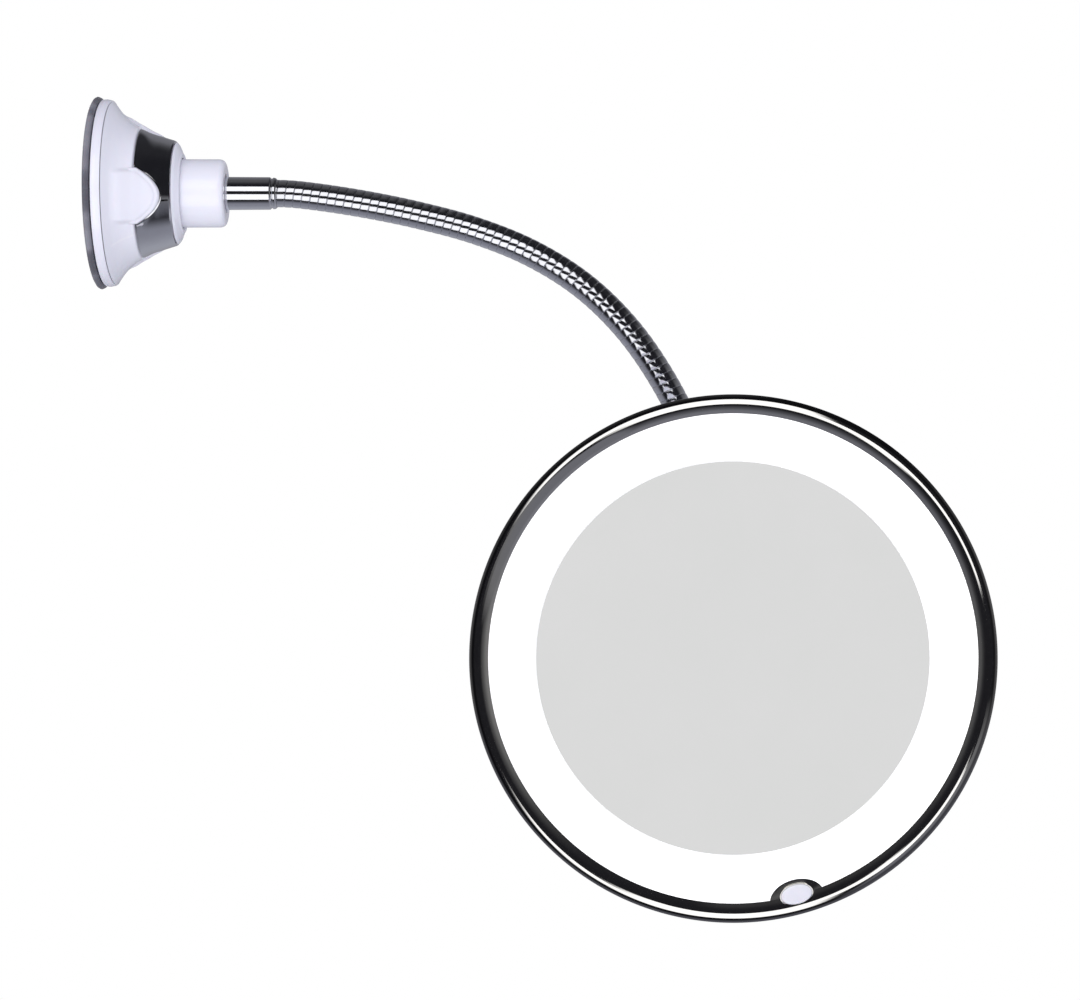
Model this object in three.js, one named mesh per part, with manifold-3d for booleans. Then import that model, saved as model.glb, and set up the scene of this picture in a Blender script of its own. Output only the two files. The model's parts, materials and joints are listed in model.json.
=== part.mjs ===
// Extendable shaving mirror: a twist-lock suction base, a flexible gooseneck and a
// round, battery-lit concave mirror on a ball joint.
//
// Millimetres, +Z up. The origin is the middle of the suction pad's face on the wall,
// +X points away from the wall and the mirror looks towards -Y.

import * as THREE from 'three';
import { mergeVertices } from 'three/addons/utils/BufferGeometryUtils.js';
import Module from 'manifold-3d';

const wasm = await Module();
wasm.setup();

// ---------------------------------------------------------------- driving dimensions

const GAP = 0.3;                 // clearance between neighbouring pieces

// suction base, heights measured along +X from the wall
const PAD_R = 34.3;
const PAD_THICK = 2.5;
const PAD_BOSS_R = 5.9;
const PAD_BOSS_TOP = 7.4;
const BASE_R = 33.4;
const BASE_TOP = 5.1;
const GUIDE_R = 8.4;             // guide tube that the stud slides in
const GUIDE_BORE_R = 6.4;
const GUIDE_TOP = 18;
const STUD_R = 3.5;
const STUD_TOP = 36.2;
const PIN_X = 14;                // cross pin, base locked
const PIN_R = 1.5;
const PIN_LENGTH = 22;
const LOCK_LIFT = 2.5;           // how far the lock pulls the stud
const LOCK_TURN = 75;            // degrees of twist for that lift
const CAM_INNER_R = 8.8;
const CAM_OUTER_R = 11.7;
const BELL_NOSE_X = 31.5;
const BELL_HOLE_R = 12.6;
const CHROME_START = 16.2;
const CHROME_END = 28.6;
const CHROME_THICK = 1.0;
const LOBE_COUNT = 3;
const LOBE_TILT = -10;           // degrees that the locked bell is turned by
const LOBE_START = 8.6;
const LOBE_TIP = 25.8;
const LOBE_HALF_WIDTH = 9.9;
const LOBE_SQUARE_X = 17;        // the lobe's sides run straight below this
const LOBE_RISE = 1.3;
const HUB_R = 12.2;
const HUB_START = 27;
const HUB_END = 47;
const FERRULE_R = 5.9;
const FERRULE_TIP_R = 5.2;
const FERRULE_PLUG_R = 4.6;      // the part inside the hub
const FERRULE_END = 62.4;

// gooseneck: stretches of winding between joint planes
const NECK_R = 4.9;
const NECK_BORE_R = 2.75;
const SPIGOT_R = 2.1;
const SPIGOT_LENGTH = 5.5;
const STRETCH = 21.5;            // length from one joint to the next
const NECK_FLEX = 20;            // degrees that one joint may bend before its ends meet
// How far each stretch is bent at rest, in degrees: downwards, and towards the viewer.
// The first and last are half stretches.
const NECK_DROP = [6, 4.5, 2, 5.5, 8.5, 11.5, 12, 9, 7.5, 8.5, 7.5, 4.5, 0.5];
const NECK_FORWARD = [0, 0, 0, 0, 0, 0, -2.5, -1, 4.5, 11, 17, 20.5, 12];

// ball joint
const BALL_R = 8.5;
const BALL_STEM_R = 2.5;
const BALL_STEM_START = 3.4;     // floor of the stem's socket in the end ferrule
const BALL_REACH = 30;           // end of the neck to the ball's centre
const BALL_OPENING = 66;         // degrees off the axis where the seats stop
const LINER_THICK = 0.9;

// mirror head: radii from its centre, depths measured backwards from the front edge
const HEAD_R = 86;
const SLOPE_INNER_R = 79.8;
const GLASS_R = 64.4;
const GLASS_EDGE_DEPTH = 4.0;
const GLASS_SAG = 3.46;
const GLASS_THICK = 2.5;
const DIFFUSER_DEPTH = 4.2;
const DIFFUSER_THICK = 2.1;
const BALL_DEPTH = 31;           // ball centre behind the front edge
const COVER_DEPTH = 27.2;
const SCREW_CIRCLE_R = 62.45;
const SCREW_ANGLES = [45, 135, 225, 315];
const LED_COUNT = 12;
const LED_CIRCLE_R = 73;
const BOARD_DEPTH = 10.1;

// power button, on the lower right of the ring
const BUTTON_ANGLE = -75;        // degrees, measured from +X towards +Z
const BUTTON_CENTRE_R = 79.2;
const BUTTON_LONG = 5.15;
const BUTTON_SHORT = 3.05;
const EAR_CENTRE_R = 81;         // the bezel's ear round the button
const EAR_LONG = 9.1;
const EAR_SHORT = 6.1;
const EAR_DEPTH = [2.2, 3.95];

// battery bay: three AAA cells side by side, below the centre
const CELL_R = 5.25;
const CELL_LENGTH = 44.5;
const CELL_HEIGHTS = [-29, -40, -51];
const CELL_DEPTH = 17.4;
const BAY_HALF_X = 25.3;
const BAY_TOP = -23.4;
const BAY_BOTTOM = -56.6;

const BASE_SEGMENTS = 32;
const HEAD_SEGMENTS = 40;
const SMALL_SEGMENTS = 18;
const BALL_SEGMENTS = 20;
const NECK_SEGMENTS = 14;

// ---------------------------------------------------------------- materials

function finish(color, roughness, metalness = 0) {
  return new THREE.MeshStandardMaterial({ color, roughness, metalness });
}

const material = {
  softPad: finish(0x77767f, 0.35),
  white: finish(0xeeeef6, 0.3),
  chrome: finish(0xd8d9dd, 0.08, 1),
  steel: finish(0xa9abb0, 0.3, 1),
  mirror: finish(0xdadada, 0.02, 1),
  diffuser: finish(0xfdfdfd, 0.6),
  innerPlastic: finish(0xe4e4e6, 0.5),
  board: finish(0xf2f2ee, 0.5),
  nylon: finish(0xe9e6dc, 0.45),
  cell: finish(0x3d4650, 0.35),
  lead: finish(0xb03030, 0.5),
  black: finish(0x202022, 0.5),
};

// ---------------------------------------------------------------- solid helpers

const radians = THREE.MathUtils.degToRad;

// Keeps only positions, joins shared corners and drops slivers of no area.
function weld(geometry) {
  const bare = geometry.clone();
  bare.deleteAttribute('normal');
  bare.deleteAttribute('uv');
  const merged = mergeVertices(bare, 1e-4);
  const source = merged.index.array;
  const kept = [];
  for (let i = 0; i < source.length; i += 3) {
    const [a, b, c] = [source[i], source[i + 1], source[i + 2]];
    if (a !== b && b !== c && c !== a) kept.push(a, b, c);
  }
  merged.setIndex(kept);
  return merged;
}

function toSolid(geometry) {
  const welded = weld(geometry);
  return new wasm.Manifold(new wasm.Mesh({
    numProp: 3,
    vertProperties: new Float32Array(welded.attributes.position.array),
    triVerts: new Uint32Array(welded.index.array),
  }));
}

function toGeometry(solid) {
  const mesh = solid.getMesh();
  const geometry = new THREE.BufferGeometry();
  geometry.setAttribute('position', new THREE.BufferAttribute(mesh.vertProperties, 3));
  geometry.setIndex(new THREE.BufferAttribute(mesh.triVerts, 1));
  geometry.computeVertexNormals();
  return geometry;
}

const join = (...geometries) => toGeometry(
  geometries.map(toSolid).reduce((sum, next) => sum.add(next)));

const cut = (body, ...tools) => toGeometry(
  tools.map(toSolid).reduce((rest, tool) => rest.subtract(tool), toSolid(body)));

const overlap = (a, b) => toGeometry(toSolid(a).intersect(toSolid(b)));

// Revolves [radius, height] points about the Y axis, anticlockwise round the section.
function turned(profile, segments) {
  const points = profile.map(([radius, height]) => new THREE.Vector2(radius, height));
  const closes = profile[0][0] === 0 && profile.at(-1)[0] === 0;
  if (!closes) points.push(points[0].clone());
  return weld(new THREE.LatheGeometry(points, segments));
}

// The same, about the X axis.
const turnedAboutX = (profile, segments) => turned(profile, segments).rotateZ(-Math.PI / 2);

// A cylinder along Y from one height to another.
function rod(radius, from, to, segments = SMALL_SEGMENTS) {
  const geometry = new THREE.CylinderGeometry(radius, radius, to - from, segments);
  return geometry.translate(0, (from + to) / 2, 0);
}

// A block from its lowest to its highest corner.
function block([x0, y0, z0], [x1, y1, z1]) {
  const geometry = new THREE.BoxGeometry(x1 - x0, y1 - y0, z1 - z0);
  return geometry.translate((x0 + x1) / 2, (y0 + y1) / 2, (z0 + z1) / 2);
}

// An elliptic block along Y: wide in X, tall in Z.
function ovalBlock(halfX, halfZ, from, to, segments = 32) {
  return rod(1, from, to, segments).scale(halfX, 1, halfZ);
}

// Points on a circular arc of a section, angles in degrees from the radial direction.
function arc(centreR, centreH, radius, fromDeg, toDeg, steps) {
  return Array.from({ length: steps + 1 }, (_, i) => {
    const angle = radians(fromDeg + (toDeg - fromDeg) * i / steps);
    return [centreR + radius * Math.cos(angle), centreH + radius * Math.sin(angle)];
  });
}

function piece(name, geometry, look) {
  const mesh = new THREE.Mesh(geometry, look);
  mesh.name = name;
  return mesh;
}

// ---------------------------------------------------------------- suction base

function suctionPad() {
  return turnedAboutX([
    [0, 0], [PAD_R - 0.5, 0], [PAD_R, 0.5], [PAD_R - 0.3, 1.5], [PAD_R - 1.2, PAD_THICK],
    [PAD_BOSS_R, PAD_THICK], [PAD_BOSS_R, PAD_BOSS_TOP], [0, PAD_BOSS_TOP],
  ], BASE_SEGMENTS);
}

// White ring behind the pad, with the slotted guide tube for the stud.
function baseRing() {
  const plateTop = 4.5;
  const ring = turnedAboutX([
    [GUIDE_BORE_R, PAD_THICK + GAP], [BASE_R - 0.4, PAD_THICK + GAP], [BASE_R, 3.2],
    [BASE_R, BASE_TOP - 0.4], [BASE_R - 0.4, BASE_TOP], [31, BASE_TOP], [31, plateTop],
    [GUIDE_R, plateTop], [GUIDE_R, GUIDE_TOP], [GUIDE_BORE_R, GUIDE_TOP],
  ], BASE_SEGMENTS);
  const slotHalf = PIN_R + GAP;
  const slotFloor = PIN_X - LOCK_LIFT - PIN_R - GAP;
  return cut(ring, block([slotFloor, -slotHalf, -12], [GUIDE_TOP + 1, slotHalf, 12]));
}

// Turning part of the lock: two helical ramps under the cross pin, on a clip-in flange.
function camRing() {
  const flangeR = 29.6;
  const flangeX = [BASE_TOP + GAP, 6.6];
  const marker = 20;             // stands for the ramp's height until it is worked out
  const ring = turnedAboutX([
    [CAM_INNER_R, flangeX[0]], [flangeR, flangeX[0]], [flangeR, flangeX[1]],
    [CAM_OUTER_R, flangeX[1]], [CAM_OUTER_R, marker], [CAM_INNER_R, marker],
  ], 48);
  const high = PIN_X - PIN_R - GAP;
  const low = high - LOCK_LIFT;
  const dwellEnd = 105;          // degrees: low up to here, then back up to the next start
  const climbEnd = 113;
  const rampHeight = (turn) => {
    if (turn < LOCK_TURN) return high - LOCK_LIFT * turn / LOCK_TURN;
    if (turn < dwellEnd) return low;
    if (turn > climbEnd) return high;
    return low + LOCK_LIFT * (turn - dwellEnd) / (climbEnd - dwellEnd);
  };
  const position = ring.attributes.position;
  for (let i = 0; i < position.count; i += 1) {
    if (position.getX(i) < marker - 1) continue;
    const angle = THREE.MathUtils.radToDeg(Math.atan2(position.getY(i), -position.getZ(i)));
    position.setX(i, rampHeight(((angle % 180) + 180) % 180));
  }
  return ring;
}

// Radius of the bell's outer surface, before the chrome's recess and the lobes.
const BELL_OUTLINE = [
  [32.9, 5.4], [32.7, 6.1], [30.9, 7.4], [28.8, 9.0], [26.6, 11.1], [24.7, 13.6],
  [23.3, CHROME_START], [21.6, 19.6], [20.2, 23.8], [18.7, CHROME_END],
];

// Outline of a lobe seen square on: straight sides, then a parabola to the tip.
function lobeOutline(grow) {
  const shape = new THREE.Shape();
  const side = LOBE_HALF_WIDTH + grow;
  const tip = LOBE_TIP + grow;
  const steps = 5;
  shape.moveTo(LOBE_START - 3 - grow, -side);
  for (let i = -steps; i <= steps; i += 1) {
    const across = side * i / steps;
    shape.lineTo(tip - (tip - LOBE_SQUARE_X) * (across / side) ** 2, across);
  }
  shape.lineTo(LOBE_START - 3 - grow, side);
  shape.closePath();
  return shape;
}

// The lobe's prism, reaching out of the bell in direction -Y and turned into its place.
function lobePrism(index, grow) {
  const inner = 8;               // clear of the bell's axis, so that it cuts one side only
  const prism = new THREE.ExtrudeGeometry(lobeOutline(grow), {
    depth: 30, bevelEnabled: false, steps: 1,
  });
  prism.rotateX(Math.PI / 2).translate(0, -inner, 0);
  return prism.rotateX(radians(-(LOBE_TILT + index * 360 / LOBE_COUNT)));
}

const lobeIndices = Array.from({ length: LOBE_COUNT }, (_, i) => i);

// White turning cover with its raised lobes.
function lockBell() {
  const recess = CHROME_THICK + GAP;
  const shell = turnedAboutX([
    [30.4, 5.4], ...BELL_OUTLINE.slice(0, 7),
    [23.3 - recess, CHROME_START], [21.6 - recess, 19.6], [20.2 - recess, 23.8],
    [18.7 - recess, CHROME_END], [18.6, CHROME_END], [18.6, 29.2], [17.8, 30.2],
    [15.6, 30.7], [15.2, 31.1], [14.4, BELL_NOSE_X], [BELL_HOLE_R + 0.4, BELL_NOSE_X],
    [BELL_HOLE_R, BELL_NOSE_X - 0.4], [BELL_HOLE_R, 29.4], [15.6, 28.4], [18.6, 19.6],
    [20.4, CHROME_START - 0.8], [22.6, 13.2], [26.2, 9.4], [29.2, 7.1], [30.4, 6.9],
  ], BASE_SEGMENTS);
  const raised = turnedAboutX([
    [24.2, 12.6], [28.6, LOBE_START - 0.6], [29.4, LOBE_START], [27.6, 11.1], [26.0, 13.6],
    [23.3 + LOBE_RISE, CHROME_START], [21.6 + LOBE_RISE, 19.6], [20.2 + LOBE_RISE, 23.2],
    [19.7, LOBE_TIP + 0.4], [17.6, LOBE_TIP + 0.4],
    [20.7, CHROME_START + 0.4],
  ], BASE_SEGMENTS);
  const lobes = lobeIndices.map((i) => overlap(raised, lobePrism(i, 0)));
  return join(shell, ...lobes);
}

// Chrome sleeve round the bell's neck, notched for the lobes.
function chromeTrim() {
  const start = CHROME_START + GAP;
  const end = CHROME_END - GAP;
  const sleeve = turnedAboutX([
    [23.2 - CHROME_THICK, start], [23.2, start], [21.6, 19.6], [20.2, 23.8], [18.8, end],
    [18.8 - CHROME_THICK, end], [20.2 - CHROME_THICK, 23.8], [21.6 - CHROME_THICK, 19.6],
  ], BASE_SEGMENTS);
  return cut(sleeve, ...lobeIndices.map((i) => lobePrism(i, GAP)));
}

function pullStud() {
  const footR = GUIDE_BORE_R - GAP;
  const foot = PAD_BOSS_TOP + GAP;
  const footTop = 9.3;
  const chamfer = 0.8;
  const shaft = turnedAboutX([
    [0, foot], [footR, foot], [footR, footTop], [STUD_R, footTop],
    [STUD_R, STUD_TOP - chamfer], [STUD_R - chamfer, STUD_TOP], [0, STUD_TOP],
  ], SMALL_SEGMENTS);
  const pinHole = rod(PIN_R + GAP, -footR, footR).rotateX(Math.PI / 2).translate(PIN_X, 0, 0);
  return cut(shaft, pinHole);
}

function crossPin() {
  const half = PIN_LENGTH / 2;
  return rod(PIN_R, -half, half, 16).rotateX(Math.PI / 2).translate(PIN_X, 0, 0);
}

// White hub that telescopes out of the bell's nose.
function hub() {
  const corner = 3;
  const recessR = FERRULE_R + 0.5;
  const recess = HUB_END - 1.6;
  const socketR = FERRULE_PLUG_R + GAP;
  return turnedAboutX([
    [STUD_R + GAP, HUB_START], [HUB_R, HUB_START],
    ...arc(HUB_R - corner, HUB_END - corner, corner, 0, 90, 3),
    [recessR, HUB_END], [recessR, recess], [socketR, recess], [socketR, STUD_TOP + GAP],
    [STUD_R + GAP, STUD_TOP + GAP],
  ], BASE_SEGMENTS);
}

function baseFerrule() {
  const foot = STUD_TOP + 2 * GAP;
  const seat = HUB_END - 1.3;
  const spigotEnd = FERRULE_END + SPIGOT_LENGTH;
  return turnedAboutX([
    [0, foot], [FERRULE_PLUG_R, foot], [FERRULE_PLUG_R, seat], [FERRULE_R, seat],
    [FERRULE_R, FERRULE_END - 5.4], [FERRULE_R - 0.4, FERRULE_END - 5],
    [FERRULE_R - 0.2, FERRULE_END - 4.4], [FERRULE_TIP_R, FERRULE_END - 0.2],
    [FERRULE_TIP_R - 0.3, FERRULE_END], [SPIGOT_R, FERRULE_END],
    [SPIGOT_R, spigotEnd], [0, spigotEnd],
  ], SMALL_SEGMENTS);
}

// ---------------------------------------------------------------- gooseneck

// Axis and angle of a stretch that drops and comes forward by the given degrees.
function bendOf(drop, forward) {
  const axis = new THREE.Vector3(0, drop, -forward);
  const angle = radians(axis.length());
  return { axis: axis.normalize(), angle };
}

// Where a circular arc of this bend, starting along +X, has got to after a share of it.
function alongBend({ axis, angle }, length, share) {
  const swept = angle * share;
  const side = new THREE.Vector3().crossVectors(axis, new THREE.Vector3(1, 0, 0));
  const reach = length / angle;
  const point = new THREE.Vector3(reach * Math.sin(swept), 0, 0);
  point.addScaledVector(side, reach * (1 - Math.cos(swept)));
  return { point, turn: new THREE.Quaternion().setFromAxisAngle(axis, swept) };
}

// One stretch of winding, bent along its arc. Ends that face a joint are coned to let
// the neighbour turn; a plain end stops just short of its ferrule.
function neckStretch(bend, length, conedStart, conedEnd) {
  const slope = Math.tan(radians(NECK_FLEX / 2));
  const setBack = (radius, coned) => GAP / 2 + (coned ? radius * slope : GAP / 2);
  const start = (radius) => setBack(radius, conedStart);
  const end = (radius) => length - setBack(radius, conedEnd);
  const rings = length > STRETCH * 0.75 ? [0.28, 0.5, 0.72] : [0.5];
  const profile = [
    [NECK_R, start(NECK_R)], ...rings.map((share) => [NECK_R, share * length]),
    [NECK_R, end(NECK_R)], [NECK_BORE_R, end(NECK_BORE_R)],
    ...rings.toReversed().map((share) => [NECK_BORE_R, share * length]),
    [NECK_BORE_R, start(NECK_BORE_R)],
  ];
  const tube = turnedAboutX(profile, NECK_SEGMENTS);
  const position = tube.attributes.position;
  const vertex = new THREE.Vector3();
  for (let i = 0; i < position.count; i += 1) {
    vertex.fromBufferAttribute(position, i);
    const { point, turn } = alongBend(bend, length, vertex.x / length);
    vertex.setX(0).applyQuaternion(turn).add(point);
    position.setXYZ(i, vertex.x, vertex.y, vertex.z);
  }
  return tube;
}

// Nested groups, one per stretch, each starting where the one before it ends.
function gooseneck() {
  const root = new THREE.Group();
  root.position.set(FERRULE_END, 0, 0);
  let place = root;
  const last = NECK_DROP.length - 1;
  NECK_DROP.forEach((drop, i) => {
    const length = i === 0 || i === last ? STRETCH / 2 : STRETCH;
    const bend = bendOf(drop, NECK_FORWARD[i]);
    const name = `neck_coil_${String(i).padStart(2, '0')}`;
    place.add(piece(name, neckStretch(bend, length, i > 0, i < last), material.chrome));
    const next = new THREE.Group();
    const { point, turn } = alongBend(bend, length, 1);
    next.position.copy(point);
    next.quaternion.copy(turn);
    next.userData.joint = i < last ? `neck joint ${i + 1}` : 'neck end';
    place.add(next);
    place = next;
  });
  return { root, end: place };
}

// Chrome ferrule on the neck's far end; its stem socket faces the ball.
function endFerrule() {
  const far = BALL_REACH - 16.5;
  const socketR = BALL_STEM_R + GAP;
  return turnedAboutX([
    [0, -5], [SPIGOT_R, -5], [SPIGOT_R, GAP], [FERRULE_TIP_R - 0.3, GAP],
    [FERRULE_TIP_R, 0.5], [FERRULE_R - 0.3, 5], [FERRULE_R - 0.3, far - 1.2],
    [FERRULE_R - 1.5, far], [socketR, far], [socketR, BALL_STEM_START],
    [0, BALL_STEM_START],
  ], SMALL_SEGMENTS);
}

function ballStud() {
  const neckAngle = THREE.MathUtils.radToDeg(Math.acos(BALL_STEM_R / BALL_R));
  const foot = BALL_STEM_START + GAP;
  return turnedAboutX([
    [0, foot], [BALL_STEM_R, foot],
    ...arc(0, BALL_REACH, BALL_R, -neckAngle, 90, 8).slice(0, -1),
    [0, BALL_REACH + BALL_R],
  ], BALL_SEGMENTS);
}

// ---------------------------------------------------------------- ball seats

// Part of a hollow ball round the joint's centre, open towards the neck.
function ballLiner(innerR) {
  const outerR = innerR + LINER_THICK;
  const edge = 90 - BALL_OPENING;
  return turned([
    [0, BALL_DEPTH - outerR], ...arc(0, BALL_DEPTH, outerR, -90, edge, 7).slice(1),
    ...arc(0, BALL_DEPTH, innerR, edge, -90, 7).slice(0, -1), [0, BALL_DEPTH - innerR],
  ], BALL_SEGMENTS);
}

const INNER_LINER_R = BALL_R + GAP;
const OUTER_LINER_R = INNER_LINER_R + LINER_THICK + GAP;
const SOCKET_R = OUTER_LINER_R + LINER_THICK + GAP;

function ballCollar() {
  const edge = 90 - BALL_OPENING;
  return turned([
    [14.5, COVER_DEPTH + GAP], [17.3, COVER_DEPTH + GAP], [17.3, 32.4], [16.8, 33.6],
    [14.2, 36.0], [13.6, 36.2], [10.6, 36.2],
    ...arc(0, BALL_DEPTH, SOCKET_R, edge, 2, 3), [14.5, BALL_DEPTH + 0.4],
  ], 28);
}

// ---------------------------------------------------------------- mirror head

// Moves a piece made at the centre out to a radius, at an angle round the ring.
function atRing(geometry, radius, angleDeg) {
  return geometry.translate(radius, 0, 0).rotateY(radians(-angleDeg));
}

// Chrome ring with its bead, inner slope and the ear that holds the button.
function bezelRing() {
  const ring = turned([
    [SLOPE_INNER_R, 3.6], [82.7, 0.8], [83.4, 0.2], [84.3, 0], [85.3, 0.4], [HEAD_R, 1.5],
    [HEAD_R, 4.4], [85.6, 5.4], [83.8, 5.4], [83.8, 8], [82.2, 8], [82.2, 4],
    [SLOPE_INNER_R, 4],
  ], HEAD_SEGMENTS);
  const ear = overlap(
    atRing(ovalBlock(EAR_SHORT, EAR_LONG, ...EAR_DEPTH), EAR_CENTRE_R, BUTTON_ANGLE),
    rod(82.4, 0, 6, HEAD_SEGMENTS));
  const buttonHole = ovalBlock(BUTTON_SHORT + GAP, BUTTON_LONG + GAP, -1, 6);
  return cut(join(ring, ear), atRing(buttonHole, BUTTON_CENTRE_R, BUTTON_ANGLE));
}

// Concave glass, silvered behind, the same thickness all over.
function mirrorGlass() {
  const radiusSteps = [0, 0.35, 0.7, 1];
  const front = radiusSteps.map((share) => [
    GLASS_R * share, GLASS_EDGE_DEPTH + GLASS_SAG * (1 - share ** 2)]);
  const back = front.map(([radius, depth]) => [radius, depth + GLASS_THICK]).toReversed();
  return turned([...front, ...back], HEAD_SEGMENTS);
}

function lightDiffuser() {
  const back = DIFFUSER_DEPTH + DIFFUSER_THICK;
  const ring = turned([
    [GLASS_R + GAP, DIFFUSER_DEPTH], [81.7, DIFFUSER_DEPTH], [81.7, back],
    [GLASS_R + GAP, back],
  ], HEAD_SEGMENTS);
  return cut(ring, atRing(ovalBlock(3.9, 7, 3, 8), BUTTON_CENTRE_R, BUTTON_ANGLE));
}

// White inner frame: a ledge for the glass, the light channel and the screw posts.
function innerFrame() {
  const ring = turned([
    [60, 7.3], [64.9, 7.3], [64.9, 6.6], [66.4, 6.6], [66.4, 12], [80.4, 12],
    [80.4, 6.6], [81.9, 6.6], [81.9, 13.5], [64.9, 13.5], [64.9, 8.6], [60, 8.6],
  ], HEAD_SEGMENTS);
  const post = () => rod(2.9, 8.1, 20.7, 16);
  const pilot = () => rod(1.6, 11.5, 22, 12);
  const posts = SCREW_ANGLES.map((angle) => atRing(post(), SCREW_CIRCLE_R, angle));
  const pilots = SCREW_ANGLES.map((angle) => atRing(pilot(), SCREW_CIRCLE_R, angle));
  const leadHole = atRing(rod(1.8, 10, 15, 12), LED_CIRCLE_R, -60);
  return cut(join(ring, ...posts), ...pilots, leadHole);
}

function ledBoard() {
  const ring = turned([
    [68, BOARD_DEPTH], [78.5, BOARD_DEPTH], [78.5, BOARD_DEPTH + 1.6],
    [68, BOARD_DEPTH + 1.6],
  ], HEAD_SEGMENTS);
  const leds = Array.from({ length: LED_COUNT }, (_, i) => {
    const led = block([-1.4, BOARD_DEPTH - 0.8, -1.75], [1.4, BOARD_DEPTH + 0.2, 1.75]);
    return atRing(led, LED_CIRCLE_R, i * 360 / LED_COUNT);
  });
  return join(ring, ...leds);
}

function switchBody() {
  const base = block([-3, 8.9, -3], [3, BOARD_DEPTH - GAP, 3]);
  return atRing(join(base, rod(1.5, 8.5, 9.2, 16)), BUTTON_CENTRE_R - 2.8, BUTTON_ANGLE);
}

function powerButton() {
  const round = 0.7;
  const flangeDepth = [EAR_DEPTH[1] + 0.35, 5.3];
  const cap = ovalBlock(BUTTON_SHORT, BUTTON_LONG, 0.9, 5);
  const crown = ovalBlock(BUTTON_SHORT - round, BUTTON_LONG - round, 0.5, 2);
  const flange = ovalBlock(2.7, 6.6, ...flangeDepth);
  const stem = rod(1.4, 5, 7.4, 16).translate(-1.6, 0, 0);
  return atRing(join(cap, crown, flange, stem), BUTTON_CENTRE_R, BUTTON_ANGLE);
}

// Domed casing with the front half of the ball socket, screw towers and bay opening.
function backCover() {
  const shell = turned([
    [0, 18], [12.4, 18], [14.4, 20], [14.4, 25], [45, 25], [63.5, 24.2], [72, 22.1],
    [77.5, 19.3], [81.2, 15.8], [83.1, 12.6], [84, 9], [84.1, 5.8],
    [85.7, 5.8], [85.9, 9], [85.2, 13], [83, 17], [79, 20.8], [73, 24], [64, 26.2],
    [45, 27], [17.6, COVER_DEPTH], [14.2, COVER_DEPTH], [14.2, BALL_DEPTH],
    ...arc(0, BALL_DEPTH, SOCKET_R, 0, -90, 6).slice(0, -1), [0, BALL_DEPTH - SOCKET_R],
  ], HEAD_SEGMENTS);
  const around = (make) => SCREW_ANGLES.map((angle) => atRing(make(), SCREW_CIRCLE_R, angle));
  const towers = around(() => rod(4.3, 21, 25.4, 20));
  const holes = around(() => rod(1.6, 15, 28, 12));
  const sinks = around(() => rod(3.1, 23.6, 28, 20));
  const bay = block([-BAY_HALF_X, 22, BAY_BOTTOM + GAP], [BAY_HALF_X, 30, BAY_TOP - GAP]);
  return cut(join(shell, ...towers), ...holes, ...sinks, bay);
}

function coverScrew(angle) {
  const screw = turned([
    [0, 12.2], [1, 12.2], [1.3, 12.8], [1.3, 23.9], [2.8, 23.9], [2.8, 24.9],
    [2.2, 25.4], [0, 25.4],
  ], 12);
  return atRing(screw, SCREW_CIRCLE_R, angle);
}

function batteryHolder() {
  const wall = 1.5;
  const outer = block([-BAY_HALF_X - wall, 10.8, BAY_BOTTOM - wall],
    [BAY_HALF_X + wall, 23.9, BAY_TOP + wall]);
  return cut(outer, block([-BAY_HALF_X, 11.9, BAY_BOTTOM], [BAY_HALF_X, 25, BAY_TOP]));
}

// AAA cell lying along X, its button end towards +X.
function cell(height) {
  const end = CELL_LENGTH / 2;
  return turnedAboutX([
    [0, -end], [4.6, -end], [CELL_R, -end + 0.6], [CELL_R, end - 1.6], [4.6, end - 1],
    [1.9, end - 1], [1.9, end], [0, end],
  ], 14).translate(0.75, CELL_DEPTH, height);
}

// Sprung contacts at the cells' flat ends, on one strip.
function springContacts() {
  const strip = block([-25, 12.6, -56], [-24.4, 22.2, -24]);
  const springs = CELL_HEIGHTS.map((height) => turnedAboutX([
    [0, -24.7], [3.8, -24.7], [3.8, -24], [2.4, -21.9], [0, -21.9],
  ], 12).translate(0, CELL_DEPTH, height));
  return join(strip, ...springs);
}

// Plain contacts at the cells' button ends.
function buttonContacts() {
  const strip = block([24.4, 12.6, -56], [25, 22.2, -24]);
  const bumps = CELL_HEIGHTS.map((height) => turnedAboutX([
    [0, 23.4], [1.2, 23.4], [2, 24], [2, 24.7], [0, 24.7],
  ], 12).translate(0, CELL_DEPTH, height));
  return join(strip, ...bumps);
}

function batteryDoor() {
  return block([-BAY_HALF_X + GAP, 24.5, BAY_BOTTOM + 2 * GAP],
    [BAY_HALF_X - GAP, 26.4, BAY_TOP - 2 * GAP]);
}

// Two-core lead from the battery holder to the light board.
function batteryLead() {
  const route = new THREE.CatmullRomCurve3([
    [27.9, 18, -45], [31, 17.6, -50], [34.6, 17, -57], [36.4, 15.4, -62.6],
    [36.5, 12.1, -63.2],
  ].map((point) => new THREE.Vector3(...point)));
  const section = new THREE.Shape();
  section.absarc(0, 0, 1, 0, Math.PI * 2);
  return new THREE.ExtrudeGeometry(section, {
    steps: 12, extrudePath: route, curveSegments: 3, bevelEnabled: false,
  });
}

// ---------------------------------------------------------------- assembly

const mirror = new THREE.Group();

mirror.add(
  piece('suction_pad', suctionPad(), material.softPad),
  piece('base_ring', baseRing(), material.white),
  piece('lock_bell', lockBell(), material.white),
  piece('lock_chrome_trim', chromeTrim(), material.chrome),
  piece('lock_cam_ring', camRing(), material.nylon),
  piece('pull_stud', pullStud(), material.steel),
  piece('cross_pin', crossPin(), material.steel),
  piece('hub', hub(), material.white),
  piece('base_ferrule', baseFerrule(), material.chrome),
);

const neck = gooseneck();
mirror.add(neck.root);
neck.end.add(
  piece('end_ferrule', endFerrule(), material.chrome),
  piece('ball_stud', ballStud(), material.chrome),
);

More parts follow.
